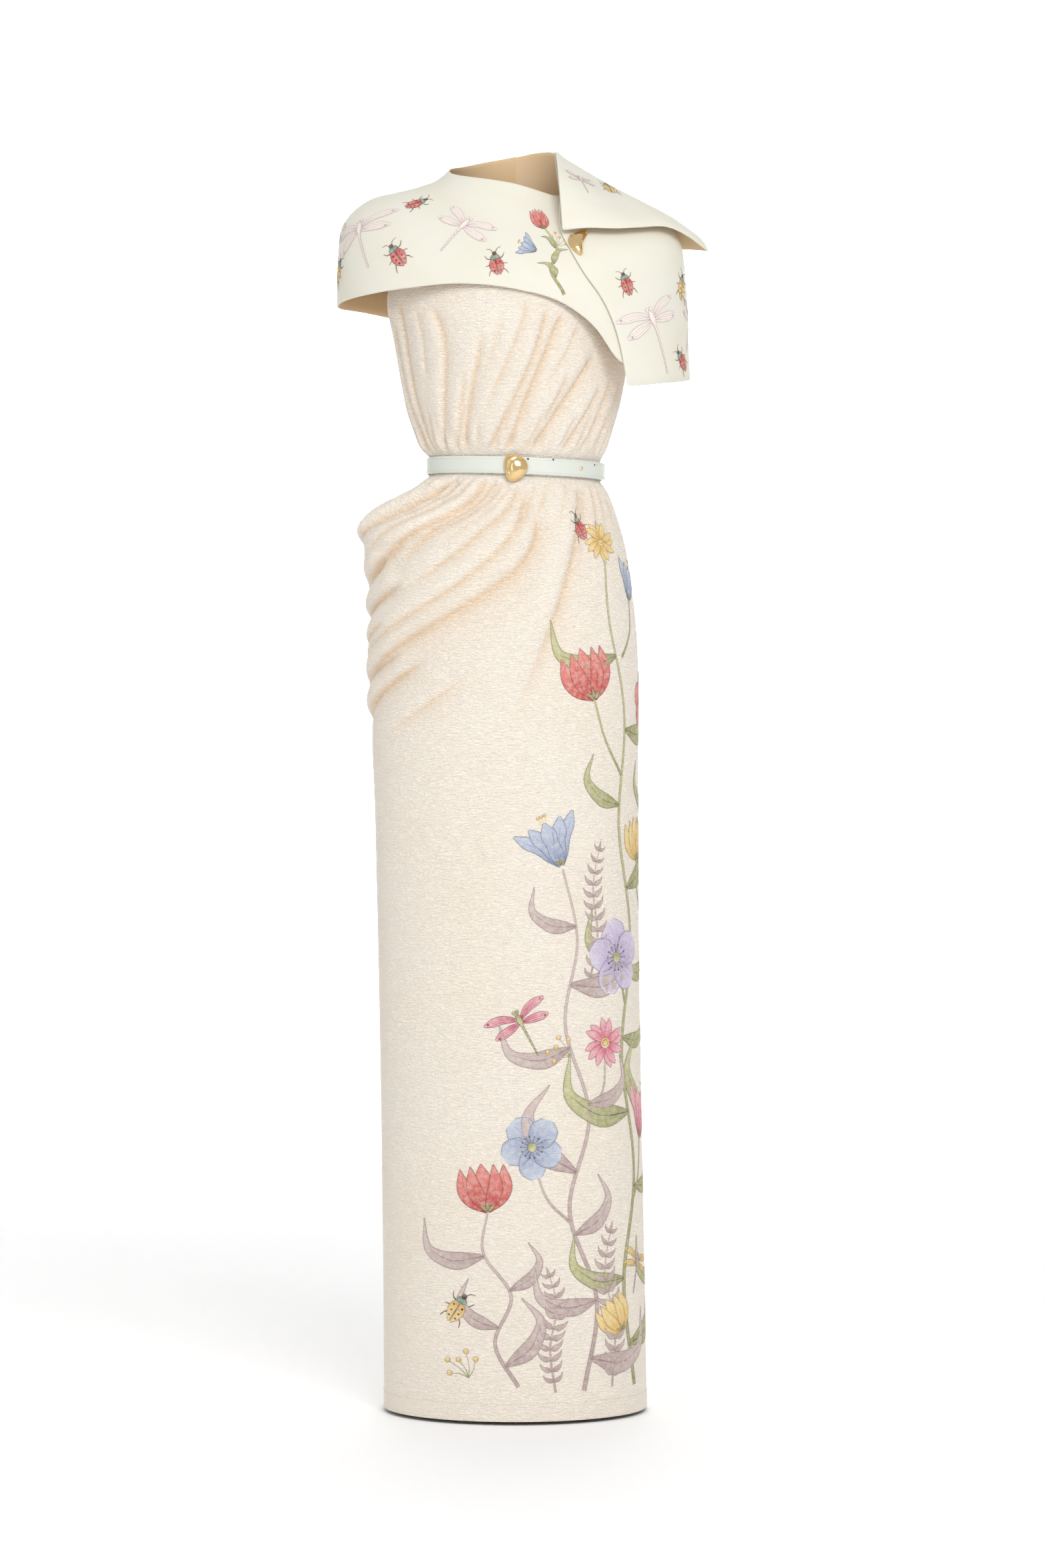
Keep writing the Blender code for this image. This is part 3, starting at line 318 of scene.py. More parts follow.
def foldHeight(angle, z, folds):
    # how far the creases move the cloth, and how deep in a crease line each point lies, 0 to 1, which sets
    # the painted crease shade
    total = np.zeros(np.broadcast(angle, z).shape)
    lines = np.zeros_like(total)
    for values in folds:
        row = dict(zip(foldColumns, values))
        gap, along = creasePlace(angle, z, row)
        gap = gap * row["hand"]
        up = np.maximum(-gap, 0)
        down = np.maximum(gap, 0)
        ridge = row["ridge"] * up / row["reach"] * np.exp(1 - up / row["reach"])
        soft = 0.0012
        upSoft = np.sqrt(up**2 + soft**2) - soft
        downSoft = np.sqrt(down**2 + soft**2) - soft
        trough = row["trough"] * np.exp(-downSoft / row["spread"] - upSoft / (0.6 * row["reach"]))
        fade = ease(along / row["fadeIn"]) * ease((1 - along) / row["fadeOut"])
        total += (ridge - trough) * fade
        depth = min(row["trough"] / 0.005, 1) ** 0.6
        lines = np.maximum(lines, depth * fade * np.exp(-((up / 0.0030) ** 2) - down / 0.0055))
    return total, lines


def poufHeight(angle, z):
    gap, along = creasePlace(angle, z, pouf)
    reach = np.where(gap > 0, pouf["down"], pouf["up"])
    strength = ease(along / 0.75) * ease((1 - along) / 0.35)
    return pouf["height"] * strength * np.exp(-((gap / reach) ** 2))


def gatherHeight(angle, z):
    near = ease(1 - np.abs(z - waist["z"]) / gathers["rise"])
    uneven = 1 + 0.45 * np.sin(np.radians(angle * 5.3 + 40)) + 0.25 * np.sin(np.radians(angle * 11.7))
    wave = np.sin(np.radians(angle * 2 * gathers["count"] + 60 * np.sin(np.radians(angle * 3.1))))
    return gathers["height"] * near * uneven * wave


def atTheSeam(z):
    return ease((np.abs(z - waist["z"]) - 0.0105) / 0.018)


# painted shade: 0 to 1, how much darker and warmer the crepe is coloured in a fold's trough and along its
# crease line
def paintedCreaseShadeOf(move, lines):
    return np.clip(0.35 * np.clip(-move / 0.009, 0, 1) + 0.75 * lines, 0, 1)


def bodiceSurface(angle, at, out):
    base = bodiceBase(angle, at)
    z = base[..., 2]
    folds, lines = foldHeight(angle, z, bodiceFolds + bodiceWrinkles)
    strength = atTheSeam(z) * ease((-0.100 - z) / 0.03)
    move = (folds + gatherHeight(angle, z)) * strength
    shade = paintedCreaseShadeOf(move, lines * strength)
    return base + normalOf(bodiceBase, angle, at, 1) * (move + out)[..., None], shade


def skirtSurface(angle, z, out):
    base = skirtBase(angle, z)
    folds, lines = foldHeight(angle, z, skirtFolds + skirtWrinkles)
    move = folds + poufHeight(angle, z) + gatherHeight(angle, z)
    hem = 0.0005 * ease((skirt["hemZ"] + skirt["hemTurn"] - z) / 0.0015)
    move = move * atTheSeam(z)
    shade = paintedCreaseShadeOf(move, lines * atTheSeam(z))
    return base + normalOf(skirtBase, angle, z, -1) * (move + hem + out)[..., None], shade


def capeSurface(angle, at, out):
    return capeBase(angle, at) + normalOf(capeBase, angle, at, 1) * np.asarray(out)[..., None]


def capeLevel(angle, z):
    # the row of the cape that lies at a height, by halving
    low = np.zeros(np.broadcast(angle, z).shape)
    high = np.full_like(low, len(capeRows) - 1.0)
    for _ in range(22):
        middle = (low + high) / 2
        above = capeBase(angle, middle)[..., 2] > z
        low = np.where(above, middle, low)
        high = np.where(above, high, middle)
    return (low + high) / 2


def arcTable():
    # metres round the body from the front middle, to the viewer's right
    fine = np.radians(np.linspace(-200, 380, 1161))
    step = np.hypot(0.150 * np.sin(fine), 0.122 * np.cos(fine))
    total = np.concatenate([[0], np.cumsum((step[1:] + step[:-1]) / 2 * np.diff(fine))])
    total = np.interp(np.pi / 2, fine, total) - total
    return fine, total


arcAngles, arcLengths = arcTable()


def angleAt(arc):
    return np.degrees(np.interp(-np.asarray(arc), -arcLengths, arcAngles))


def arcAt(angle):
    return np.interp(np.radians(angle), arcAngles, arcLengths)


class Link:
    # one socket, so that shader maths reads as arithmetic
    def __init__(self, finish, socket):
        self.finish = finish
        self.socket = socket

    def maths(self, kind, first, second=0.0):
        node = self.finish.node("ShaderNodeMath", {"operation": kind}, {0: first, 1: second})
        return Link(self.finish, node.outputs[0])

    def __add__(self, other):
        return self.maths("ADD", self, other)

    def __radd__(self, other):
        return self.maths("ADD", other, self)

    def __sub__(self, other):
        return self.maths("SUBTRACT", self, other)

    def __rsub__(self, other):
        return self.maths("SUBTRACT", other, self)

    def __mul__(self, other):
        return self.maths("MULTIPLY", self, other)

    def __rmul__(self, other):
        return self.maths("MULTIPLY", other, self)

    def above(self, low, high):
        # 0 under low, 1 over high, smooth between
        node = self.finish.node(
            "ShaderNodeMapRange", {"interpolation_type": "SMOOTHSTEP"},
            {"Value": self, "From Min": low, "From Max": high},
        )
        return Link(self.finish, node.outputs["Result"])


class Finish:
    # a material and the few ways its nodes are made
    def __init__(self, name, roughness=0.8, metallic=0.0, **constants):
        self.material = bpy.data.materials.new(name)
        self.material.use_nodes = True
        self.tree = self.material.node_tree
        self.shader = self.tree.nodes["Principled BSDF"]
        self.shader.inputs["Roughness"].default_value = roughness
        self.shader.inputs["Metallic"].default_value = metallic
        for key, value in constants.items():
            self.shader.inputs[key].default_value = value

    def node(self, kind, settings, inputs):
        made = self.tree.nodes.new(kind)
        for key, value in settings.items():
            setattr(made, key, value)
        for key, value in inputs.items():
            self.put(made.inputs[key], value)
        return made

    def put(self, socket, value):
        if isinstance(value, Link):
            self.tree.links.new(value.socket, socket)
        else:
            socket.default_value = value

    def feed(self, name, value):
        self.put(self.shader.inputs[name], value)

    def attribute(self, name, output="Vector"):
        return Link(self, self.node("ShaderNodeAttribute", {"attribute_name": name}, {}).outputs[output])

    def stretched(self, vector, scale):
        node = self.node("ShaderNodeVectorMath", {"operation": "MULTIPLY"}, {0: vector, 1: scale})
        return Link(self, node.outputs[0])

    def noise(self, vector, scale, detail=2.0, roughness=0.5, distortion=0.0):
        node = self.node(
            "ShaderNodeTexNoise", {},
            {"Vector": vector, "Scale": scale, "Detail": detail, "Roughness": roughness,
             "Distortion": distortion},
        )
        return Link(self, node.outputs["Fac"])

    def mix(self, factor, first, second):
        node = self.node("ShaderNodeMix", {"data_type": "RGBA"}, {0: factor, 6: first, 7: second})
        return Link(self, node.outputs[2])

    def bump(self, height, strength, distance):
        node = self.node("ShaderNodeBump", {}, {"Strength": strength, "Distance": distance, "Height": height})
        self.feed("Normal", Link(self, node.outputs["Normal"]))


def colour(red, green, blue):
    # a colour picked on screen, 0 to 255, as the shader wants it
    def straight(v):
        v = v / 255
        return v / 12.92 if v <= 0.04045 else ((v + 0.055) / 1.055) ** 2.4
    return (straight(red), straight(green), straight(blue), 1.0)


finishLook = {
    "crepeLight": colour(241, 233, 221),
    "crepeWarm": colour(238, 221, 198),
    # painted shade in the creases of the crepe
    "crepeCreaseShade": colour(226, 196, 162),
    # painted shade: the crepe's inner faces as a darker, warmer copy of the cloth
    "crepeInsideShade": colour(228, 205, 172),
    "twillLight": colour(227, 225, 212),
    "twillWarm": colour(222, 214, 193),
    # painted shade: the twill's inner faces as a darker, warmer copy of the cloth
    "twillInsideShade": colour(222, 190, 146),
    "leatherLight": colour(218, 222, 213),
    # the dark back of the strap's leather, also used as the painted shade inside the belt holes
    "leatherBackAndHoleShade": colour(42, 40, 44),
    "gold": colour(240, 208, 152),
    "goldDeep": colour(208, 164, 104),
    "thread": colour(214, 208, 192),
}


def crepeRelief(finish, place):
    # short irregular dashes, longer across than down
    dashes = finish.noise(finish.stretched(place, (150, 430, 1)), 1.0, 2.0, 0.55, 1.2)
    grain = finish.noise(finish.stretched(place, (1100, 1500, 1)), 1.0, 1.0)
    return dashes.above(0.38, 0.66) + 0.25 * grain


def makeCrepe():
    finish = Finish("creamCrepe", 0.88, **{"Sheen Weight": 0.12, "Sheen Roughness": 0.5})
    place = finish.attribute("clothPlace")
    paintedCreaseShade = finish.attribute("paintedCreaseShade", "Fac")
    relief = crepeRelief(finish, place)
    cloudy = finish.noise(finish.stretched(place, (9, 7, 1)), 1.0, 3.0)
    # painted shade: the crepe turns towards the crease colour where it lies deep in a fold
    tone = finish.mix(paintedCreaseShade * 0.85, finishLook["crepeLight"], finishLook["crepeCreaseShade"])
    tone = finish.mix(cloudy.above(0.35, 0.75) * 0.22, tone, finishLook["crepeWarm"])
    # painted shade: the low spots of the crinkle are coloured warmer
    tone = finish.mix((1 - relief.above(0.1, 0.8)) * 0.3, tone, finishLook["crepeWarm"])
    finish.feed("Base Color", tone)
    finish.bump(relief, 0.62, 0.0014)
    return finish.material


# painted shade: a darker, warmer copy of the crepe for its inner faces
def makeCrepeInsideShade():
    finish = Finish("crepeInsideShade", 0.9)
    place = finish.attribute("clothPlace")
    relief = crepeRelief(finish, place)
    finish.feed("Base Color", finish.mix(relief * 0.2, finishLook["crepeInsideShade"], finishLook["crepeWarm"]))
    finish.bump(relief, 0.4, 0.0008)
    return finish.material


def twillRelief(finish, place):
    # a fine slanting weave with a few slubs
    slant = finish.node("ShaderNodeMapping", {}, {"Vector": place, "Rotation": (0, 0, math.radians(38))})
    threads = finish.noise(finish.stretched(Link(finish, slant.outputs[0]), (260, 1700, 1)), 1.0, 1.0)
    slubs = finish.noise(finish.stretched(place, (40, 900, 1)), 1.0, 2.0)
    return threads * 0.7 + slubs.above(0.55, 0.8) * 0.3


def makeTwill(name, light, warm):
    finish = Finish(name, 0.72, **{"Sheen Weight": 0.08, "Sheen Roughness": 0.4})
    place = finish.attribute("clothPlace")
    relief = twillRelief(finish, place)
    cloudy = finish.noise(finish.stretched(place, (12, 12, 1)), 1.0, 2.0)
    tone = finish.mix(cloudy.above(0.3, 0.8) * 0.35, finishLook[light], finishLook[warm])
    finish.feed("Base Color", finish.mix(relief * 0.12, tone, finishLook[warm]))
    finish.bump(relief, 0.25, 0.0004)
    return finish.material


def makeLeather():
    finish = Finish("paleLeather", 0.42, **{"Coat Roughness": 0.3})
    place = finish.attribute("clothPlace")
    grain = finish.noise(finish.stretched(place, (900, 900, 1)), 1.0, 3.0, 0.6)
    cloudy = finish.noise(finish.stretched(place, (30, 60, 1)), 1.0, 2.0)
    finish.feed("Base Color", finish.mix(cloudy * 0.25, finishLook["leatherLight"], colour(204, 210, 200)))
    finish.feed("Roughness", 0.36 + grain * 0.2)
    finish.bump(grain, 0.25, 0.0003)
    return finish.material


def makeGold():
    finish = Finish("polishedGold", 0.14, 1.0)
    coordinates = Link(finish, finish.node("ShaderNodeTexCoord", {}, {}).outputs["Object"])
    worn = finish.noise(coordinates, 220.0, 3.0)
    tone = finish.mix(worn.above(0.45, 0.8) * 0.35, finishLook["gold"], finishLook["goldDeep"])
    finish.feed("Base Color", tone)
    finish.feed("Roughness", 0.09 + worn * 0.12)
    finish.bump(finish.noise(coordinates, 60.0, 2.0), 0.12, 0.0008)
    return finish.material


def makePlain(name, tone, roughness):
    finish = Finish(name, roughness)
    coordinates = Link(finish, finish.node("ShaderNodeTexCoord", {}, {}).outputs["Object"])
    speck = finish.noise(coordinates, 900.0, 2.0)
    finish.feed("Base Color", finish.mix(speck * 0.3, tone, (tone[0] * 0.8, tone[1] * 0.8, tone[2] * 0.8, 1)))
    finish.bump(speck, 0.3, 0.0003)
    return finish.material


def makeInk(name, relief, depth):
    # dyed into the cloth: washed colour, a drawn outline and fine pen hatching
    finish = Finish(name, 0.86)
    wash = finish.attribute("washColour", "Color")
    line = finish.attribute("lineColour", "Color")
    drawn = finish.attribute("drawn")
    split = finish.node("ShaderNodeSeparateXYZ", {}, {0: drawn})
    along = Link(finish, split.outputs[0])
    edge = Link(finish, split.outputs[1])
    hatched = Link(finish, split.outputs[2])
    place = finish.attribute("clothPlace")
    blotch = finish.noise(finish.stretched(place, (160, 160, 1)), 1.0, 3.0, 0.6)
    tone = finish.mix(blotch.above(0.35, 0.75) * 0.35, wash, finishLook["crepeLight"])
    strokes = (along * (2 * math.pi / 0.0021) + blotch * 5.0)
    strokes = strokes.maths("SINE", strokes).above(0.45, 0.95)
    tone = finish.mix(strokes * hatched * (1 - edge.above(0.0006, 0.0040)) * 0.55, tone, line)
    tone = finish.mix((1 - edge.above(0.0003, 0.0008)) * hatched * 0.85, tone, line)
    finish.feed("Base Color", tone)
    finish.bump(relief(finish, place), depth[0], depth[1])
    return finish.material


materials = {
    "crepe": makeCrepe(),
    "crepeInsideShade": makeCrepeInsideShade(),
    "twill": makeTwill("ivoryTwill", "twillLight", "twillWarm"),
    # painted shade: the cape's inner faces as a darker, warmer copy of the twill
    "twillInsideShade": makeTwill("ivoryTwillInsideShade", "twillInsideShade", "crepeWarm"),
    "leather": makeLeather(),
    # the leather's dark back, and the painted shade of the belt holes
    "leatherBackAndHoleShade": makePlain("darkLeatherBackAndHoleShade", finishLook["leatherBackAndHoleShade"], 0.6),
    "gold": makeGold(),
    "thread": makePlain("paleThread", finishLook["thread"], 0.7),
    "creamThread": makePlain("creamThread", colour(226, 212, 190), 0.8),
    "bead": makePlain("redBead", colour(132, 26, 32), 0.25),
    "inkOnCrepe": makeInk("inkOnCrepe", crepeRelief, (0.5, 0.0010)),
    "inkOnTwill": makeInk("inkOnTwill", twillRelief, (0.25, 0.0004)),
}
print("materials made")


def addMesh(name, points, faces, faceMaterials, materialList, attributes):
    # faces is an array of corner indices, all with the same number of corners
    mesh = bpy.data.meshes.new(name)
    corners = faces.shape[1]
    mesh.vertices.add(len(points))
    mesh.vertices.foreach_set("co", np.ascontiguousarray(points, np.float32).ravel())
    mesh.loops.add(faces.size)
    mesh.loops.foreach_set("vertex_index", np.ascontiguousarray(faces, np.int32).ravel())
    mesh.polygons.add(len(faces))
    mesh.polygons.foreach_set("loop_start", np.arange(0, faces.size, corners, dtype=np.int32))
    for made in materialList:
        mesh.materials.append(made)
    if faceMaterials is not None:
        mesh.polygons.foreach_set("material_index", np.ascontiguousarray(faceMaterials, np.int32))
    mesh.update(calc_edges=True)
    mesh.shade_smooth()
    for key, (kind, values) in attributes.items():
        field = {"FLOAT": "value", "FLOAT_VECTOR": "vector", "FLOAT_COLOR": "color"}[kind]
        layer = mesh.attributes.new(key, kind, "POINT")
        layer.data.foreach_set(field, np.ascontiguousarray(values, np.float32).ravel())
    made = bpy.data.objects.new(name, mesh)
    bpy.context.scene.collection.objects.link(made)
    return made


def clothWall(name, outer, inner, place, paintedCreaseShade, outside, inside, roundness=0.5):
    # a closed thin wall with a rounded rim between two grids of points
    rows, cols = outer.shape[:2]
    grid = np.arange(rows * cols).reshape(rows, cols)
    quads = np.stack([grid[:-1, :-1], grid[:-1, 1:], grid[1:, 1:], grid[1:, :-1]], axis=-1).reshape(-1, 4)
    count = rows * cols
    border = np.concatenate([grid[0, :], grid[1:, -1], grid[-1, -2::-1], grid[-2:0:-1, 0]])
    within = np.concatenate([grid[1, :], grid[1:, -2], grid[-2, -2::-1], grid[-2:0:-1, 1]])
    outerFlat = outer.reshape(-1, 3)
    innerFlat = inner.reshape(-1, 3)
    away = outerFlat[border] - outerFlat[within]
    away /= np.linalg.norm(away, axis=1, keepdims=True) + 1e-12
    thick = np.linalg.norm(outerFlat[border] - innerFlat[border], axis=1, keepdims=True)
    rims = []
    for share in (0.15, 0.5, 0.85):
        swell = roundness * math.sin(math.pi * share)
        rims.append(outerFlat[border] * (1 - share) + innerFlat[border] * share + away * thick * swell)
    points = np.concatenate([outerFlat, innerFlat] + rims)
    faces = [quads, quads[:, ::-1] + count]
    between = [2 * count + k * len(border) + np.arange(len(border)) for k in range(3)]
    loops = [border] + between + [border + count]
    for upper, lower in zip(loops, loops[1:]):
        faces.append(np.stack([np.roll(upper, -1), upper, lower, np.roll(lower, -1)], axis=-1))
    faceMaterials = np.concatenate([
        np.zeros(len(quads)), np.ones(len(quads)), np.zeros(3 * len(border)), np.ones(len(border))
    ])
    spread = np.concatenate([place.reshape(-1, 3)] * 2 + [place.reshape(-1, 3)[border]] * 3)
    # the painted crease shade of each point, carried onto the rim
    deep = np.concatenate([paintedCreaseShade.ravel()] * 2 + [paintedCreaseShade.ravel()[border]] * 3)
    return addMesh(
        name, points, np.concatenate(faces), faceMaterials, [materials[outside], materials[inside]],
        {"clothPlace": ("FLOAT_VECTOR", spread), "paintedCreaseShade": ("FLOAT", deep)},
    )


def spreadOut(start, end, count, crowdAt=None, crowd=1.0):
    fine = np.linspace(start, end, 1601)
    weight = np.ones_like(fine)
    if crowdAt is not None:
        weight += crowd * np.exp(-(((fine - crowdAt) / (0.33 * abs(end - start))) ** 2))
    total = np.concatenate([[0], np.cumsum((weight[1:] + weight[:-1]) / 2)])
    return np.interp(np.linspace(0, total[-1], count), total, fine)


def clothPlaces(angle, z):
    return np.stack([arcAt(angle), z, np.zeros_like(z)], axis=-1)


bodiceLook = {"frontColumns": 260, "backColumns": 130, "yokeRows": 34, "bodyRows": 126, "underarmRow": 5}


def bodicePanel(name, start, end, count):
    last = len(bodiceRows) - 1
    underarm = bodiceLook["underarmRow"]
    yoke = np.linspace(0, underarm, bodiceLook["yokeRows"])
    at = np.concatenate([yoke, np.linspace(underarm, last, bodiceLook["bodyRows"])[1:]])
    inset = np.maximum(smooth(at, armhole["rows"], armhole["inset"]), 0)
    inset = np.where(at < underarm, inset, 0)[:, None]
    gap = math.degrees(cloth["seamGap"] / 2 / 0.12)
    share = np.linspace(0, 1, count)[None, :]
    angle = start + gap + inset + (end - start - 2 * gap - 2 * inset) * share
    at = np.broadcast_to(at[:, None], angle.shape)
    outer, shade = bodiceSurface(angle, at, 0.0)
    inner, _ = bodiceSurface(angle, at, -cloth["crepeWall"])
    return clothWall(name, outer, inner, clothPlaces(angle, outer[..., 2]), shade, "crepe", "crepeInsideShade")


skirtLook = {
    "frontColumns": 200, "backColumns": 100, "foldRows": 206, "lowRows": 26, "hemRows": 8,
    "foldsEnd": -0.68, "frontCrowd": 150, "backCrowd": 220,
}


def skirtPanel(name, start, end, count, crowdAt):
    top = waist["z"] - cloth["seamGap"]
    foldsEnd = skirtLook["foldsEnd"]
    hem = skirt["hemZ"] + skirt["hemTurn"]
    z = np.concatenate([
        np.linspace(top, foldsEnd, skirtLook["foldRows"]),
        np.linspace(foldsEnd - 0.01, hem + 0.002, skirtLook["lowRows"]),
        np.linspace(hem + 0.0006, skirt["hemZ"], skirtLook["hemRows"]),
    ])
    gap = math.degrees(cloth["seamGap"] / 2 / 0.12)
    angle, z = np.meshgrid(spreadOut(start + gap, end - gap, count, crowdAt, 1.4), z)
    outer, shade = skirtSurface(angle, z, 0.0)
    inner, _ = skirtSurface(angle, z, -cloth["crepeWall"])
    return clothWall(name, outer, inner, clothPlaces(angle, z), shade, "crepe", "crepeInsideShade")


def capeRowsBetween(angle, topZ, hemZ, share):
    top = capeLevel(angle, topZ)
    return top + (capeLevel(angle, hemZ) - top) * share


def capePlaces(points):
    # metres across and down the cloth, measured along the grid
    across = np.zeros(points.shape[:2])
    across[:, 1:] = np.cumsum(np.linalg.norm(np.diff(points, axis=1), axis=-1), axis=1)
    downward = np.zeros(points.shape[:2])
    downward[1:] = np.cumsum(np.linalg.norm(np.diff(points, axis=0), axis=-1), axis=0)
    return np.stack([across, -downward, np.zeros_like(across)], axis=-1)


capeLook = {"rows": 60, "wrapColumns": 130, "leftColumns": 90, "lapelRows": 40}


def wrapOffset(angle):
    return -cloth["underCape"] * ease((100 - angle) / 40)


def capeWrap():
    share = np.linspace(0, 1, capeLook["rows"])
    gap = math.degrees(cloth["seamGap"] / 2 / 0.08)
    first = wrap["endTop"] + (wrap["endHem"] - wrap["endTop"]) * share
    turn = np.linspace(0, 1, capeLook["wrapColumns"])[None, :]
    angle = first[:, None] + (270 - gap - first)[:, None] * turn
    neck = smooth(angle, wrap["neckAngles"], wrap["neckZ"])
    hem = smooth(angle, wrap["hemAngles"], wrap["hemZ"])
    at = capeRowsBetween(angle, neck, hem, share[:, None])
    outer = capeSurface(angle, at, wrapOffset(angle))
    inner = capeSurface(angle, at, wrapOffset(angle) - cloth["capeWall"])
    return clothWall("capeWrap", outer, inner, capePlaces(outer), np.zeros_like(at), "twill", "twillInsideShade")


def leftEdge(share):
    angle = np.full_like(share, 30.0)
    for _ in range(60):
        crest = smooth(angle, leftHalf["crestAngles"], leftHalf["crestZ"])
        hem = smooth(angle, leftHalf["hemAngles"], leftHalf["hemZ"])
        at = capeRowsBetween(angle, crest, hem, share)
        wanted = smooth(capeBase(angle, at)[..., 2], leftHalf["edgeZ"], leftHalf["edgeX"])
        wanted = wanted / capeBase(np.zeros_like(angle), at)[..., 0]
        angle = 0.6 * angle + 0.4 * np.degrees(np.arccos(np.clip(wanted, 0.0, 0.985)))
    return angle


def capeLeft():
    share = np.linspace(0, 1, capeLook["rows"])
    gap = math.degrees(cloth["seamGap"] / 2 / 0.08)
    edge = leftEdge(share)
    angle = -90 + gap + (edge + 90 - gap)[:, None] * np.linspace(0, 1, capeLook["leftColumns"])[None, :]
    crest = smooth(angle, leftHalf["crestAngles"], leftHalf["crestZ"])
    hem = smooth(angle, leftHalf["hemAngles"], leftHalf["hemZ"])
    at = capeRowsBetween(angle, crest, hem, share[:, None])
    outer = capeSurface(angle, at, np.zeros_like(at))
    inner = capeSurface(angle, at, np.zeros_like(at) - cloth["capeWall"])
    return clothWall("capeLeft", outer, inner, capePlaces(outer), np.zeros_like(at), "twill", "twillInsideShade")


def lapelPoint(rows, u, v):
    knots = np.linspace(0, 1, len(rows))
    angle, x, y, z, belly, curl = (smooth(u, knots, [row[i] for row in rows]) for i in range(6))
    level = capeLevel(angle, smooth(angle, leftHalf["crestAngles"], leftHalf["crestZ"]))
    crest = capeSurface(angle, level, np.zeros_like(level) + cloth["seamGap"])
    edge = np.stack([x, y, z], axis=-1)
    bellyWay = np.stack([np.zeros_like(y), y / 0.11, np.full_like(y, 0.6)], axis=-1)
    bellyWay /= np.linalg.norm(bellyWay, axis=-1, keepdims=True)
    point = crest + (edge - crest) * v[..., None]
    point = point + bellyWay * (belly * np.sin(np.pi * v) ** 0.8)[..., None]
    point[..., 2] += curl * 4.24 * v**3 * np.sqrt(np.clip(1 - v, 0, 1))
    return point


def lapelGrid():
    v = np.linspace(0, 1, capeLook["lapelRows"])[:, None]
    halves = []
    for table, count in ((lapelBack, 40), (lapelFront, 70)):
        u = np.linspace(1, 0, count)[None, :]
        if table is lapelFront:
            u = u[:, 1:]
        uu, vv = np.broadcast_arrays(u, v)
        halves.append(lapelPoint(table, uu, vv))
    return np.concatenate(halves, axis=1)


def gridNormals(grid):
    normal = np.cross(np.gradient(grid, axis=1), np.gradient(grid, axis=0))
    return normal / np.linalg.norm(normal, axis=-1, keepdims=True)


def collarLapel():
    inner = lapelGrid()
    outer = inner + gridNormals(inner) * cloth["capeWall"]
    plain = np.zeros(inner.shape[:2])
    return clothWall("collarLapel", outer, inner, capePlaces(outer), plain, "twill", "twillInsideShade")


bodiceFront = bodicePanel("bodiceFront", 0, 180, bodiceLook["frontColumns"])
bodiceBack = bodicePanel("bodiceBack", 180, 360, bodiceLook["backColumns"])
right, left = skirt["rightSeam"], skirt["leftSeam"]
skirtFront = skirtPanel("skirtFront", right, left, skirtLook["frontColumns"], skirtLook["frontCrowd"])
skirtBack = skirtPanel("skirtBack", left, 360 + right, skirtLook["backColumns"], skirtLook["backCrowd"])
capeWrapPiece = capeWrap()
capeLeftPiece = capeLeft()
lapelPiece = collarLapel()
for piece, node in (
    (bodiceFront, "bodice_front"), (bodiceBack, "bodice_back"), (skirtFront, "skirt_front"),
    (skirtBack, "skirt_back"), (capeWrapPiece, "cape_wrap"), (capeLeftPiece, "cape_left"),
    (lapelPiece, "collar_lapel"),
):
    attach(piece, "root")
    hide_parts(node)
    "ivory_twill" if "cape" in node or "collar" in node else "crepe"
print("cloth made")

hem = {"pitch": 0.0034, "stitch": 0.0021, "width": 0.0005}
belt = {
    "holes": ((0.0155, -0.3170, 0.0013), (0.0455, -0.3172, 0.0012), (0.0945, -0.3205, 0.0012)),
    "height": 0.0188, "wall": 0.0024, "clear": 0.0015, "layer": 0.0028, "tip": -3, "hiddenEnd": 438,
    "stitchInset": 0.0022, "stitchLength": 0.0022, "stitchGap": 0.0012, "stitchWidth": 0.00045,
}


def beltPoint(angle, height, out):
    last = len(bodiceRows) - 1
    base = ringPoint(bodiceRows, np.arange(last + 1), angle, np.full_like(angle, last))
    c = np.cos(np.radians(angle))
    s = np.sin(np.radians(angle))
    halfX = np.where(c > 0, waist["right"], waist["left"])
    halfY = np.where(s > 0, waist["front"], waist["back"])
    way = np.stack([c / halfX, -s / halfY, np.zeros_like(c)], axis=-1)
    way /= np.linalg.norm(way, axis=-1, keepdims=True)
    point = base + way * np.asarray(out)[..., None]
    point[..., 2] = waist["z"] + waist["slopeX"] * point[..., 0] + waist["slopeY"] * point[..., 1] + height
    return point


def beltLift(angle):
    return belt["layer"] * (1 - ease((angle - 88) / 50))


def beltHalf(angle):
    tip = np.clip((angle - belt["tip"]) / 9, 0, 1)
    return belt["height"] / 2 * (0.55 + 0.45 * np.sqrt(1 - (1 - tip) ** 2))


def beltStrap():
    angle = np.concatenate([np.linspace(belt["tip"], 14, 30), np.linspace(15, belt["hiddenEnd"], 300)])
    heights = np.linspace(1, -1, 9)[:, None] * beltHalf(angle)[None, :]
    angle = np.broadcast_to(angle[None, :], heights.shape)
    near = belt["clear"] + beltLift(angle)
    outer = beltPoint(angle, heights, near + belt["wall"])
    inner = beltPoint(angle, heights, near)
    plain = np.zeros(heights.shape)
    made = clothWall("beltStrap", outer, inner, capePlaces(outer), plain, "leather", "leatherBackAndHoleShade", 0.35)
    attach(made, "root")
    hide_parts("belt_strap")


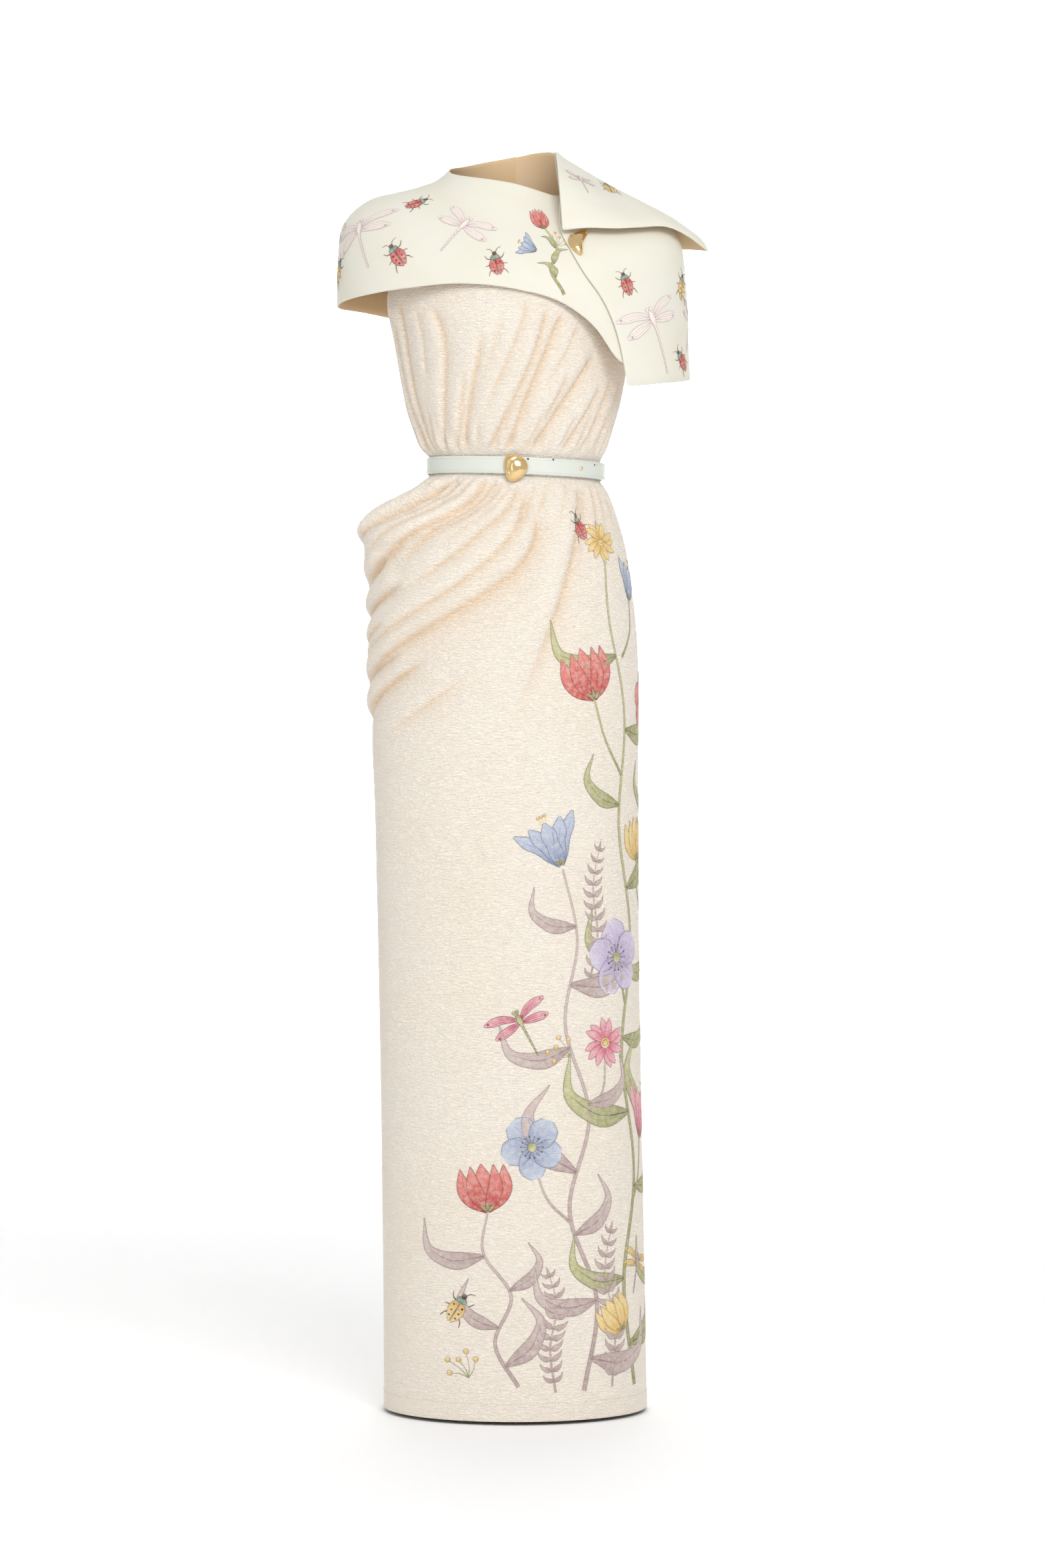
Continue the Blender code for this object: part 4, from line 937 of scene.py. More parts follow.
def stitchRow(points, normals, ups, size):
    # one small raised dash for each stitch: points are their middles
    way = np.cross(ups, normals)
    way /= np.linalg.norm(way, axis=1, keepdims=True)
    corner = []
    for along, side, out in (
        (-1, 0, 0.0), (-0.6, -1, 0.15), (0.6, -1, 0.15), (1, 0, 0.0), (0.6, 1, 0.15), (-0.6, 1, 0.15),
        (-0.5, 0, 0.7), (0.5, 0, 0.7),
    ):
        corner.append(points + way * along * size[0] / 2 + ups * side * size[1] / 2 + normals * out * size[1])
    shape = np.array([(0, 1, 6), (1, 2, 7), (1, 7, 6), (2, 3, 7), (3, 4, 7), (4, 5, 6), (4, 6, 7), (5, 0, 6)])
    allPoints = np.stack(corner, axis=1)
    faces = (shape[None, :, :] + (np.arange(len(points)) * 8)[:, None, None]).reshape(-1, 3)
    return allPoints.reshape(-1, 3), faces


def beltStitches():
    arc = 0.0018 * (belt["hiddenEnd"] - belt["tip"])
    pitch = belt["stitchLength"] + belt["stitchGap"]
    angle = np.linspace(belt["tip"] + 3, 360 + belt["tip"] - 4, int(arc * 0.8 / pitch))
    points = []
    faces = []
    total = 0
    for side in (1, -1):
        height = side * (beltHalf(angle) - belt["stitchInset"])
        out = belt["clear"] + beltLift(angle) + belt["wall"]
        middle = beltPoint(angle, height, out)
        normal = beltPoint(angle, height, out + 0.01) - middle
        normal /= np.linalg.norm(normal, axis=1, keepdims=True)
        ups = np.tile([0.0, 0.0, 1.0], (len(angle), 1))
        size = (belt["stitchLength"], belt["stitchWidth"])
        made, shape = stitchRow(middle + normal * 0.00005, normal, ups, size)
        points.append(made)
        faces.append(shape + total)
        total += len(made)
    points = np.concatenate(points)
    made = addMesh("beltStitches", points, np.concatenate(faces), None, [materials["thread"]], {})
    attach(made, "root")


def domeMesh(name, middle, facing, up, radiusOf, depth, rings, sides, look, heightOf=None):
    facing = np.asarray(facing, float) / np.linalg.norm(facing)
    up = np.asarray(up, float) - facing * np.dot(up, facing)
    up /= np.linalg.norm(up)
    across = np.cross(up, facing)
    turn = np.linspace(0, 2 * np.pi, sides, endpoint=False)
    lean = 0.5 * np.pi * np.linspace(0, 1, rings + 1)[:-1]
    radius = radiusOf(turn)
    u = np.cos(lean)[:, None] * radius[None, :] * np.cos(turn)[None, :]
    w = np.cos(lean)[:, None] * radius[None, :] * np.sin(turn)[None, :]
    h = depth * np.sin(lean)[:, None] * np.ones_like(u)
    if heightOf is not None:
        h = h + heightOf(u, w) * (np.sin(lean)[:, None] ** 0.5)
    points = (middle + across * u[..., None] + up * w[..., None] + facing * h[..., None]).reshape(-1, 3)
    top = middle + facing * (depth + (heightOf(np.zeros(1), np.zeros(1))[0] if heightOf else 0))
    points = np.concatenate([points, [top], [middle]])
    index = np.arange(rings * sides).reshape(rings, sides)
    nxt = np.roll(index, -1, axis=1)
    quads = np.stack([index[:-1], nxt[:-1], nxt[1:], index[1:]], axis=-1).reshape(-1, 4)
    triangles = [quads[:, [0, 1, 2]], quads[:, [0, 2, 3]]]
    triangles.append(np.stack([index[-1], nxt[-1], np.full(sides, rings * sides)], -1))
    triangles.append(np.stack([nxt[0], index[0], np.full(sides, rings * sides + 1)], -1))
    return addMesh(name, points, np.concatenate(triangles), None, [materials[look]], {})


buckle = {
    "x": 0.0013, "z": -0.3275, "depth": 0.0095, "groove": (0.004, -0.001, 0.0125), "grooveDepth": 0.0012,
    "angles": (-14, 11, 37, 72, 108, 130, 151, 185, 211, 240, 255, 280, 312, 346, 371),
    "radii": (0.0139, 0.0145, 0.0145, 0.0148, 0.0174, 0.0182, 0.0162, 0.0142, 0.0143, 0.0168, 0.0170, 0.0144,
              0.0130, 0.0139, 0.0145),
}


def pebbleOutline(turn):
    return smooth(np.degrees(turn), buckle["angles"], buckle["radii"])


def beltBuckle():
    clear = belt["clear"] + belt["layer"] + belt["wall"] + cloth["seamGap"]
    front = beltPoint(np.array([90.0]), np.array([0.0]), np.array([clear]))[0]

    def swirl(u, w):
        # one soft groove that curls down from the upper left
        middleU, middleW, radius = buckle["groove"]
        far = np.abs(np.hypot(u - middleU, w - middleW) - radius)
        fade = ease((middleU - u) / 0.006) * ease((w + 0.010) / 0.006)
        return -buckle["grooveDepth"] * np.exp(-((far / 0.0014) ** 2)) * fade

    made = domeMesh(
        "beltBuckle", np.array([buckle["x"], front[1], buckle["z"]]), (0, -1, 0), (0, 0, 1), pebbleOutline,
        buckle["depth"], 40, 96, "gold", swirl,
    )
    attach(made, "root")
    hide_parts("belt_buckle")


beltStrap()
beltStitches()
beltBuckle()
for node in ("belt_stud", "brooch"):
    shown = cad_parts[node]
    shown.data.materials.clear()
    shown.data.materials.append(materials["gold"])


def hemStitches():
    angle = np.linspace(0, 360, int(0.88 / hem["pitch"]), endpoint=False) + skirt["rightSeam"] + 0.3
    z = np.full_like(angle, skirt["hemZ"] + skirt["hemTurn"] - 0.002)
    points = skirtSurface(angle, z, 0.00005)[0]
    normals = normalOf(skirtBase, angle, z, -1)
    ups = np.tile([0.0, 0.0, 1.0], (len(angle), 1))
    made, faces = stitchRow(points, normals, ups, (hem["stitch"], hem["width"]))
    made = addMesh("hemStitches", made, faces, None, [materials["creamThread"]], {})
    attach(made, "root")


def beltHoles():
    # punched holes, and the darker one under the buckle's edge, as flat dark discs: painted shade, since no
    # hole is cut
    for k, (x, z, radius) in enumerate(belt["holes"]):
        angle = np.array([math.degrees(math.acos(x / (waist["right"] + 0.006)))])
        out = np.array([belt["clear"] + belt["wall"]]) + beltLift(angle)
        level = beltPoint(angle, np.zeros(1), out)[0]
        front = beltPoint(angle, np.zeros(1), out + 0.01)[0] - level
        middle = level + np.array([0, 0, z - level[2]])
        made = domeMesh(
            f"beltHole{k + 1}", middle, front, (0, 0, 1), lambda turn: np.full_like(turn, radius),
            0.0003, 6, 20, "leatherBackAndHoleShade",
        )
        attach(made, "root")


hemStitches()
beltHoles()
print("belt and trim made")

# The print: generic climbing flowers, ferns, beetles and dragonflies, laid on the cloth as thin inked shapes
inks = {
    "olive": colour(150, 150, 98), "oliveLight": colour(202, 200, 150), "oliveLine": colour(112, 106, 76),
    "mauve": colour(176, 154, 150), "mauveLight": colour(212, 196, 190), "mauveLine": colour(150, 122, 124),
    "red": colour(186, 56, 52), "redLight": colour(228, 142, 132), "redLine": colour(120, 42, 42),
    "gold": colour(218, 174, 88), "goldLight": colour(242, 220, 156), "goldLine": colour(150, 112, 62),
    "blue": colour(136, 148, 178), "blueLight": colour(192, 200, 216), "blueLine": colour(88, 98, 128),
    "lavender": colour(168, 152, 190), "lavenderLight": colour(212, 203, 224),
    "lavenderLine": colour(112, 98, 134),
    "pink": colour(208, 98, 124), "pinkLight": colour(240, 186, 192), "pinkLine": colour(140, 58, 82),
    "dark": colour(70, 50, 48), "darkLight": colour(120, 70, 52), "brown": colour(120, 70, 52),
    "teal": colour(120, 156, 142), "tealLine": colour(70, 50, 48),
    "pale": colour(238, 228, 218), "paleLine": colour(186, 160, 168),
}
printLook = {"lift": 0.0003, "layer": 0.00003, "stroke": (-1, -0.8, 0, 0.8, 1), "rows": 14, "capeScale": 1.15}


def tonesOf(ink, swapped=False):
    # the deep wash, the light wash and the line of one ink
    deep = inks[ink]
    light = inks.get(ink + "Light", deep)
    line = inks.get(ink + "Line", deep)
    return (light, deep, line) if swapped else (deep, light, line)


def curve(points, count):
    points = np.asarray(points, float)
    knots = np.concatenate([[0], np.cumsum(np.linalg.norm(np.diff(points, axis=0), axis=1))])
    at = np.linspace(0, knots[-1], count)
    return np.stack([smooth(at, knots, points[:, 0]), smooth(at, knots, points[:, 1])], axis=1)


def facingOf(way):
    # the turn from straight up to the way that a path runs
    return math.degrees(math.atan2(way[1], way[0])) - 90


class Drawing:
    # flat inked strokes in metres across and up, not yet on any cloth
    def __init__(self):
        self.parts = []

    def stroke(self, points, widths, tones, layer, hatched=1.0, rows=printLook["rows"]):
        path = curve(points, rows)
        way = np.gradient(path, axis=0)
        way /= np.linalg.norm(way, axis=1, keepdims=True) + 1e-12
        side = np.stack([-way[:, 1], way[:, 0]], axis=1)
        share = np.linspace(0, 1, rows)
        half = np.maximum(smooth(share, np.linspace(0, 1, len(widths)), widths), 0.0002) / 2
        across = np.array(printLook["stroke"], float)
        flat = path[:, None, :] + side[:, None, :] * (half[:, None] * across)[..., None]
        first, last = np.array(tones[0]), np.array(tones[1])
        wash = first + (last - first) * share[:, None, None] * np.ones((1, len(across), 1))
        length = np.concatenate([[0], np.cumsum(np.linalg.norm(np.diff(path, axis=0), axis=1))])
        edge = half[:, None] * (1 - np.abs(across))
        drawn = np.stack([length[:, None] + 0 * edge, edge, np.full_like(edge, hatched)], axis=-1)
        self.parts.append((flat, wash, np.array(tones[2]), drawn, layer))

    def disc(self, at, radius, tones, layer, hatched=1.0):
        share = np.linspace(0, 1, 9)
        widths = 2 * radius * np.sqrt(np.maximum(1 - (2 * share - 1) ** 2, 0))
        spine = [(at[0], at[1] - radius), at, (at[0], at[1] + radius)]
        self.stroke(spine, widths, tones, layer, hatched, 11)


class Motif:
    # the same strokes in units of a motif's size, turned and moved to its place
    def __init__(self, drawing, at, turn, size):
        self.drawing = drawing
        self.at = at
        self.size = size
        self.cos = math.cos(math.radians(turn))
        self.sin = math.sin(math.radians(turn))

    def place(self, x, y):
        across = self.at[0] + self.size * (x * self.cos - y * self.sin)
        return across, self.at[1] + self.size * (x * self.sin + y * self.cos)

    def stroke(self, points, widths, tones, layer, hatched=1.0, rows=printLook["rows"]):
        points = [self.place(x, y) for x, y in points]
        self.drawing.stroke(points, [w * self.size for w in widths], tones, layer, hatched, rows)

    def line(self, points, widths, ink, layer, rows=printLook["rows"]):
        # a plain pen line of one ink
        self.stroke(points, widths, (inks[ink], inks[ink], inks[ink]), layer, 0.0, rows)

    def disc(self, x, y, radius, tones, layer, hatched=1.0):
        self.drawing.disc(self.place(x, y), radius * self.size, tones, layer, hatched)

    def dot(self, x, y, radius, ink, layer):
        self.disc(x, y, radius, (inks[ink], inks[ink], inks[ink]), layer, 0.0)


def leaf(drawing, at, turn, size, ink, bend=0.2, width=0.28, layer=2):
    motif = Motif(drawing, at, turn, size)
    spine = [(0, 0), (bend, 0.35), (bend * 1.2, 0.7), (bend * 0.2, 1.0)]
    motif.stroke(spine, (0.04, width, width * 0.8, width * 0.4, 0.01), tonesOf(ink), layer, rows=20)
    motif.line(spine[:3], (0.018, 0.012, 0.004), ink + "Line", layer + 1)


def petals(motif, rows, ink, layer, shape=(0.30, 0.8, 1.0, 0.8, 0.12)):
    # each row: three places on the petal's spine, and its width
    for k, (spine, width) in enumerate(rows):
        motif.stroke(spine, [part * width for part in shape], tonesOf(ink), layer + k)
        motif.line([(0.96 * x, 0.94 * y) for x, y in spine], (0.010, 0.006, 0.003), ink + "Line", layer + k)


def sepals(drawing, at, turn, size):
    for lean in (-48, 0, 48):
        leaf(drawing, at, turn + lean, size * 0.34, "olive", 0.05, 0.32, 10)


def tulip(drawing, at, turn, size, ink):
    leans = ((-0.34, 0.34), (0.34, 0.34), (0.0, 0.44), (-0.17, 0.32), (0.19, 0.30))
    rows = [([(0, 0), (x * 1.15, 0.45), (x * 1.3, 1.0 - 0.2 * abs(x))], width) for x, width in leans]
    petals(Motif(drawing, at, turn, size), rows, ink, 3, (0.3, 0.9, 1.0, 0.7, 0.05))
    sepals(drawing, at, turn, size * 0.7)


def bellFlower(drawing, at, turn, size, ink):
    motif = Motif(drawing, at, turn, size)
    for x in (-0.07, 0.0, 0.08):
        motif.stroke([(0, 0.4), (x, 1.02)], (0.02, 0.02), tonesOf("gold"), 2, 0.0)
        motif.disc(x, 1.06, 0.035, tonesOf("gold"), 3)
    leans = ((-0.40, 0.26), (0.40, 0.26), (-0.20, 0.30), (0.22, 0.30), (0.0, 0.34))
    rows = [([(0, 0), (x * 0.8, 0.5), (x * 1.7, 0.92)], width) for x, width in leans]
    petals(motif, rows, ink, 4, (0.5, 0.9, 0.85, 1.0, 0.15))
    sepals(drawing, at, turn, size * 0.55)


def daisy(drawing, at, turn, size, ink):
    for k in range(12):
        motif = Motif(drawing, at, turn + 30 * k + 7 * math.sin(2.4 * k), size / 2)
        long = 1.0 - 0.08 * math.sin(3.1 * k)
        petals(motif, [([(0, 0.1), (0.05, 0.6 * long), (0.0, long)], 0.36)], ink, 3 + k % 3)
    drawing.disc(at, size * 0.11, tonesOf("gold", True), 8)
    for k in range(9):
        Motif(drawing, at, 40 * k, size).dot(0, 0.06, 0.014, "brown", 9)


def poppy(drawing, at, turn, size, ink):
    # each petal: its turn, length and width
    shape = (0.2, 0.8, 1.0, 0.95, 0.45)
    leans = ((0, 1.0, 0.95), (74, 0.92, 0.9), (147, 1.0, 0.85), (214, 0.95, 0.9), (288, 0.98, 0.9))
    for k, (lean, long, width) in enumerate(leans):
        motif = Motif(drawing, at, turn + lean, size / 2)
        petals(motif, [([(0, 0), (0.06, 0.55 * long), (-0.03, long)], width)], ink, 3 + k, shape)
    for k in range(14):
        motif = Motif(drawing, at, turn + 26 * k, size)
        motif.line([(0, 0.05), (0.01, 0.16)], (0.008, 0.005), "dark", 10, 4)
        motif.disc(0.01, 0.17, 0.014, tonesOf("dark"), 11, 0.0)
    drawing.disc(at, size * 0.075, tonesOf("olive", True), 12)


def fern(drawing, points, pairs, size, ink):
    drawing.stroke(points, [0.0026, 0.0020, 0.0008], tonesOf(ink), 2, 0.4, 30)
    path = curve(points, pairs + 2)
    way = np.gradient(path, axis=0)
    for k in range(1, pairs + 1):
        share = k / (pairs + 1)
        long = size * (0.35 + 0.65 * math.sin(math.pi * (0.15 + 0.8 * share)))
        for lean in (-1, 1):
            leaf(drawing, tuple(path[k]), facingOf(way[k]) + lean * 48, long, ink, -0.12 * lean, 0.34, 3)
    leaf(drawing, tuple(path[-2]), facingOf(way[-1]), size * 0.6, ink, 0.0, 0.3, 4)


def berries(drawing, at, turn, size, ink):
    olive = (inks["olive"], inks["olive"], inks["oliveLine"])
    for k, (lean, long) in enumerate(((-42, 0.7), (-16, 0.95), (8, 0.72), (30, 1.0), (56, 0.7))):
        motif = Motif(drawing, at, turn + lean, size)
        motif.stroke([(0, 0), (0.06, long * 0.5), (0, long)], (0.03, 0.02), olive, 2, 0.0)
        motif.disc(0, long + 0.08, 0.11, tonesOf(ink), 4 + k)
        Motif(drawing, motif.place(0, long + 0.08), 0, size).dot(-0.03, 0.04, 0.025, "pale", 10)


def beetle(drawing, at, turn, size, ink):
    motif = Motif(drawing, at, turn, size)
    for side in (-1, 1):
        for y, reach, drop in ((0.22, 0.40, 0.22), (0.0, 0.44, -0.04), (-0.2, 0.38, -0.30)):
            leg = [(side * 0.1, y), (side * reach * 0.75, y + drop * 0.3), (side * reach, y + drop)]
            motif.stroke(leg, (0.05, 0.035, 0.02), tonesOf("dark"), 1, 0.0)
        feeler = [(side * 0.04, 0.5), (side * 0.15, 0.66), (side * 0.30, 0.70)]
        motif.stroke(feeler, (0.03, 0.015), tonesOf("dark"), 1, 0.0)
        wingCase = [(side * 0.10, 0.24), (side * 0.15, -0.1), (side * 0.05, -0.5)]
        motif.stroke(wingCase, (0.16, 0.27, 0.27, 0.18, 0.04), tonesOf(ink), 3)
        for y in (0.08, -0.12, -0.3):
            motif.dot(side * (0.15 + y * 0.1), y, 0.038, "dark", 5)
    motif.stroke([(-0.19, 0.28), (0, 0.33), (0.19, 0.28)], (0.06, 0.2, 0.2, 0.2, 0.06), tonesOf("teal"), 4)
    motif.disc(0, 0.47, 0.09, tonesOf("dark"), 5)
    motif.stroke([(0, 0.2), (0, -0.48)], (0.02, 0.012), tonesOf("dark"), 6, 0.0)


def dragonfly(drawing, at, turn, size, wingInk="pale", bodyInk="pale"):
    motif = Motif(drawing, at, turn, size / 2)
    wings = (((0.03, 0.26), (0.42, 0.46), (0.96, 0.52)), ((0.03, 0.16), (0.40, 0.10), (0.86, 0.02)))
    for side in (-1, 1):
        for k, (root, middle, tip) in enumerate(wings):
            spine = [(side * x, y) for x, y in (root, middle, tip)]
            motif.stroke(spine, (0.07, 0.20, 0.25, 0.24, 0.06), tonesOf(wingInk), 2 + k)
            for lift in (-0.06, 0.0, 0.05):
                vein = [spine[0], (spine[1][0], middle[1] + lift), (spine[2][0] * 0.93, tip[1] + lift * 0.8)]
                motif.line(vein, (0.012, 0.008), wingInk + "Line", 4 + k)
            motif.dot(spine[2][0] * 0.86, tip[1], 0.03, wingInk + "Line", 6)
        motif.disc(side * 0.055, 0.50, 0.055, tonesOf(bodyInk), 9)
        leg = [(side * 0.05, 0.2), (side * 0.2, 0.30), (side * 0.22, 0.46)]
        motif.line(leg, (0.016, 0.010), bodyInk + "Line", 1)
    motif.stroke([(0, 0.44), (0, 0.26), (0, 0.04)], (0.10, 0.17, 0.09), tonesOf(bodyInk), 8)
    for k in range(7):
        y = -0.02 - 0.14 * k
        widths = [w * (1 - 0.06 * k) for w in (0.055, 0.085, 0.055)]
        motif.stroke([(0, y + 0.06), (0, y), (0, y - 0.07)], widths, tonesOf(bodyInk), 7, 1.0, 7)


def stem(drawing, points, width, ink, leafSize, shares):
    # a climbing stem with alternate curling leaves at shares of its length
    widths = [width, width * 0.85, width * 0.7, width * 0.4]
    drawing.stroke(points, widths, tonesOf(ink), 1, 0.7, 90)
    path = curve(points, 201)
    way = np.gradient(path, axis=0)
    for k, share in enumerate(shares):
        i = int(200 * share)
        side = 1 if k % 2 else -1
        long = leafSize * (1.2 + 0.26 * math.sin(2.3 * k + 1))
        turn = facingOf(way[i]) + side * (42 + 10 * math.sin(1.7 * k))
        leaf(drawing, tuple(path[i]), turn, long, ink, -0.32 * side, 0.24, 3)


def stalk(drawing, points, ink):
    drawing.stroke(points, [0.0036, 0.0028, 0.0024], tonesOf(ink), 2, 0.5, 24)


# Where each motif stands on the skirt: metres round from the front middle to the viewer's right, and z
skirtMotifs = (
    (stem, [(0.158, -1.412), (0.140, -1.29), (0.166, -1.16), (0.142, -1.02), (0.164, -0.88), (0.140, -0.75),
            (0.152, -0.62), (0.126, -0.50), (0.130, -0.43)],
     0.0062, "olive", 0.078, (0.05, 0.13, 0.24, 0.33, 0.42, 0.51, 0.60, 0.70, 0.79, 0.88)),
    (poppy, (0.134, -0.905), 15, 0.088, "lavender"),
    (stalk, [(0.150, -0.96), (0.142, -0.93), (0.136, -0.905)], "olive"),
    (daisy, (0.128, -0.412), 0, 0.052, "gold"),
    (stalk, [(0.145, -0.69), (0.118, -0.65), (0.100, -0.60)], "olive"),
    (tulip, (0.100, -0.60), 18, 0.062, "red"),
    (stalk, [(0.158, -1.20), (0.176, -1.17), (0.186, -1.12)], "olive"),
    (bellFlower, (0.186, -1.12), -14, 0.060, "pink"),
    (stalk, [(0.147, -0.55), (0.168, -0.52), (0.176, -0.48)], "olive"),
    (bellFlower, (0.176, -0.48), -20, 0.046, "blue"),
    (stem, [(0.080, -1.412), (0.098, -1.31), (0.064, -1.20), (0.090, -1.09), (0.060, -0.98), (0.076, -0.88),
            (0.058, -0.80)],
     0.0056, "mauve", 0.074, (0.06, 0.17, 0.30, 0.42, 0.55, 0.66, 0.78, 0.89)),
    (bellFlower, (0.056, -0.795), 24, 0.058, "blue"),
    (stalk, [(0.090, -1.09), (0.110, -1.06), (0.114, -1.02)], "mauve"),
    (daisy, (0.114, -1.005), 10, 0.060, "pink"),
    (stalk, [(0.066, -1.215), (0.040, -1.19), (0.022, -1.145)], "mauve"),
    (poppy, (0.020, -1.125), 40, 0.074, "blue"),
    (stem, [(0.004, -1.405), (-0.022, -1.355), (-0.004, -1.30), (-0.036, -1.245), (-0.030, -1.20)],
     0.0046, "mauve", 0.058, (0.12, 0.34, 0.55, 0.76)),
    (tulip, (-0.030, -1.20), 8, 0.056, "red"),
    (fern, [(0.046, -1.412), (0.040, -1.36), (0.048, -1.31), (0.036, -1.265)], 11, 0.020, "mauve"),
    (fern, [(0.118, -1.410), (0.124, -1.34), (0.110, -1.27), (0.122, -1.215)], 13, 0.023, "mauve"),
    (fern, [(0.090, -0.94), (0.104, -0.88), (0.098, -0.82), (0.110, -0.765)], 12, 0.019, "mauve"),
    (berries, (-0.052, -1.395), 22, 0.030, "gold"),
    (berries, (0.066, -1.02), 48, 0.026, "gold"),
    (tulip, (0.136, -1.345), 34, 0.046, "gold"),
    (dragonfly, (0.010, -0.985), 28, 0.080, "pink", "olive"),
    (beetle, (-0.066, -1.315), -32, 0.036, "gold"),
    (beetle, (0.098, -0.395), 24, 0.032, "red"),
    (dragonfly, (0.168, -1.275), -18, 0.066, "gold", "lavender"),
    (stem, [(0.222, -1.412), (0.240, -1.28), (0.212, -1.14), (0.236, -1.00), (0.212, -0.86), (0.232, -0.73),
            (0.214, -0.62)],
     0.0058, "olive", 0.074, (0.05, 0.16, 0.28, 0.40, 0.52, 0.63, 0.75, 0.87)),
    (poppy, (0.214, -0.60), 5, 0.070, "red"),
    (daisy, (0.240, -1.015), 12, 0.066, "lavender"),
    (stalk, [(0.214, -0.86), (0.190, -0.83), (0.186, -0.79)], "olive"),
    (tulip, (0.186, -0.79), 12, 0.052, "gold"),
    (stem, [(0.300, -1.412), (0.318, -1.31), (0.292, -1.20), (0.314, -1.09), (0.300, -1.00)],
     0.0052, "mauve", 0.066, (0.1, 0.28, 0.46, 0.63, 0.82)),
    (bellFlower, (0.300, -1.00), 0, 0.060, "blue"),
    (fern, [(0.268, -1.410), (0.262, -1.34), (0.274, -1.28), (0.262, -1.23)], 12, 0.022, "mauve"),
    (tulip, (0.350, -1.33), -20, 0.050, "pink"),
    (stalk, [(0.304, -1.395), (0.332, -1.37), (0.350, -1.33)], "mauve"),
    (beetle, (0.345, -1.20), 30, 0.034, "gold"),
)
sprigMotifs = (
    (stalk, [(0.012, -0.052), (-0.004, -0.02), (0.006, 0.012), (-0.006, 0.040)], "olive"),
    (leaf, (0.002, -0.032), 48, 0.030, "olive", 0.25),
    (leaf, (0.000, -0.012), -46, 0.028, "olive", -0.25),
    (leaf, (0.004, 0.010), 50, 0.022, "olive", 0.2),
    (tulip, (-0.006, 0.036), 10, 0.026, "red"),
    (bellFlower, (-0.020, 0.006), 66, 0.022, "blue"),
    (berries, (0.006, 0.014), -38, 0.016, "gold"),
)
# On the cape and lapel: kind, angle or u, height or v, size, turn
capeMotifs = {
    "wrap": (
        (dragonfly, 152, -0.050, 0.078, 24), (beetle, 171, -0.088, 0.030, -30),
        (beetle, 131, -0.078, 0.028, 42),
        (dragonfly, 112, -0.048, 0.072, -34), (beetle, 96, -0.092, 0.026, 12),
        (dragonfly, 186, -0.042, 0.066, -14), (beetle, 200, -0.092, 0.030, 64),
        (dragonfly, 214, -0.058, 0.080, 30), (beetle, 232, -0.104, 0.028, -20),
        (dragonfly, 248, -0.088, 0.078, -28), (beetle, 262, -0.142, 0.028, 34),
        (None, 76, -0.080, 1.0, 0), (beetle, 140, -0.012, 0.024, -58),
    ),
    "left": (
        (dragonfly, 37, -0.160, 0.084, 26), (beetle, 15, -0.108, 0.028, -22), (beetle, 18, -0.196, 0.026, 48),
        (dragonfly, 4, -0.150, 0.062, -30), (dragonfly, -32, -0.110, 0.082, 18),
        (beetle, -16, -0.176, 0.028, -40), (beetle, -56, -0.150, 0.028, 30),
        (dragonfly, -74, -0.080, 0.078, -20), (beetle, 50, -0.112, 0.024, 20),
    ),
    "lapel": ((dragonfly, 0.26, 0.45, 0.042, -16), (beetle, 0.60, 0.50, 0.026, -24)),
}


def drawn(motifs):
    drawing = Drawing()
    for draw, *values in motifs:
        draw(drawing, *values)
    return drawing


def skirtPlace(arc, z):
    angle = angleAt(arc)
    return np.where(angle < skirt["rightSeam"], angle + 360, angle), z


def skirtCloth(angle, z, out):
    return skirtSurface(angle, z, out)[0]


def wrapCloth(angle, at, out):
    return capeSurface(angle, at, wrapOffset(angle) + out)


def lapelCloth(u, v, out):
    step = 0.002
    point = lapelPoint(lapelFront, u, v)
    turn = lapelPoint(lapelFront, u + step, v) - lapelPoint(lapelFront, u - step, v)
    fall = lapelPoint(lapelFront, u, v + step) - lapelPoint(lapelFront, u, v - step)
    normal = np.cross(fall, turn)
    normal /= np.linalg.norm(normal, axis=-1, keepdims=True)
    return point + normal * (cloth["capeWall"] + np.asarray(out))[..., None]


def anchored(surface, p, q, steps):
    # a map from metres across and up at one place of a surface to the surface's own two numbers
    firsts = np.array([p, p + steps[0], p])
    middle, nextP, nextQ = surface(firsts, np.array([q, q, q + steps[1]]), np.zeros(3))
    slopes = np.stack([(nextP - middle) / steps[0], (nextQ - middle) / steps[1]])
    out = np.cross(slopes[0], slopes[1])
    out /= np.linalg.norm(out)
    if out @ np.array([middle[0], middle[1], 0.1]) < 0:
        out = -out
    up = np.array([0, 0, 1.0]) - out * out[2]
    up /= np.linalg.norm(up)
    right = np.cross(up, out)
    turn = np.linalg.solve(slopes @ slopes.T, slopes @ np.stack([right, up], axis=1))
    return lambda a, b: (p + a * turn[0, 0] + b * turn[0, 1], q + a * turn[1, 0] + b * turn[1, 1])


def capeDrawings(places, surface, steps, levelled=True):
    made = []
    for k, (draw, first, second, size, turn) in enumerate(places):
        size = size * printLook["capeScale"]
        if draw is dragonfly:
            drawing = drawn([(dragonfly, (0, 0), turn, size)])
        elif draw is beetle:
            drawing = drawn([(beetle, (0, 0), turn, size, ("red", "gold")[k % 2])])
        else:
            drawing = drawn(sprigMotifs)
        if levelled:
            second = float(capeLevel(np.array([float(first)]), np.array([second]))[0])
        made.append((drawing, anchored(surface, float(first), second, steps)))
    return made


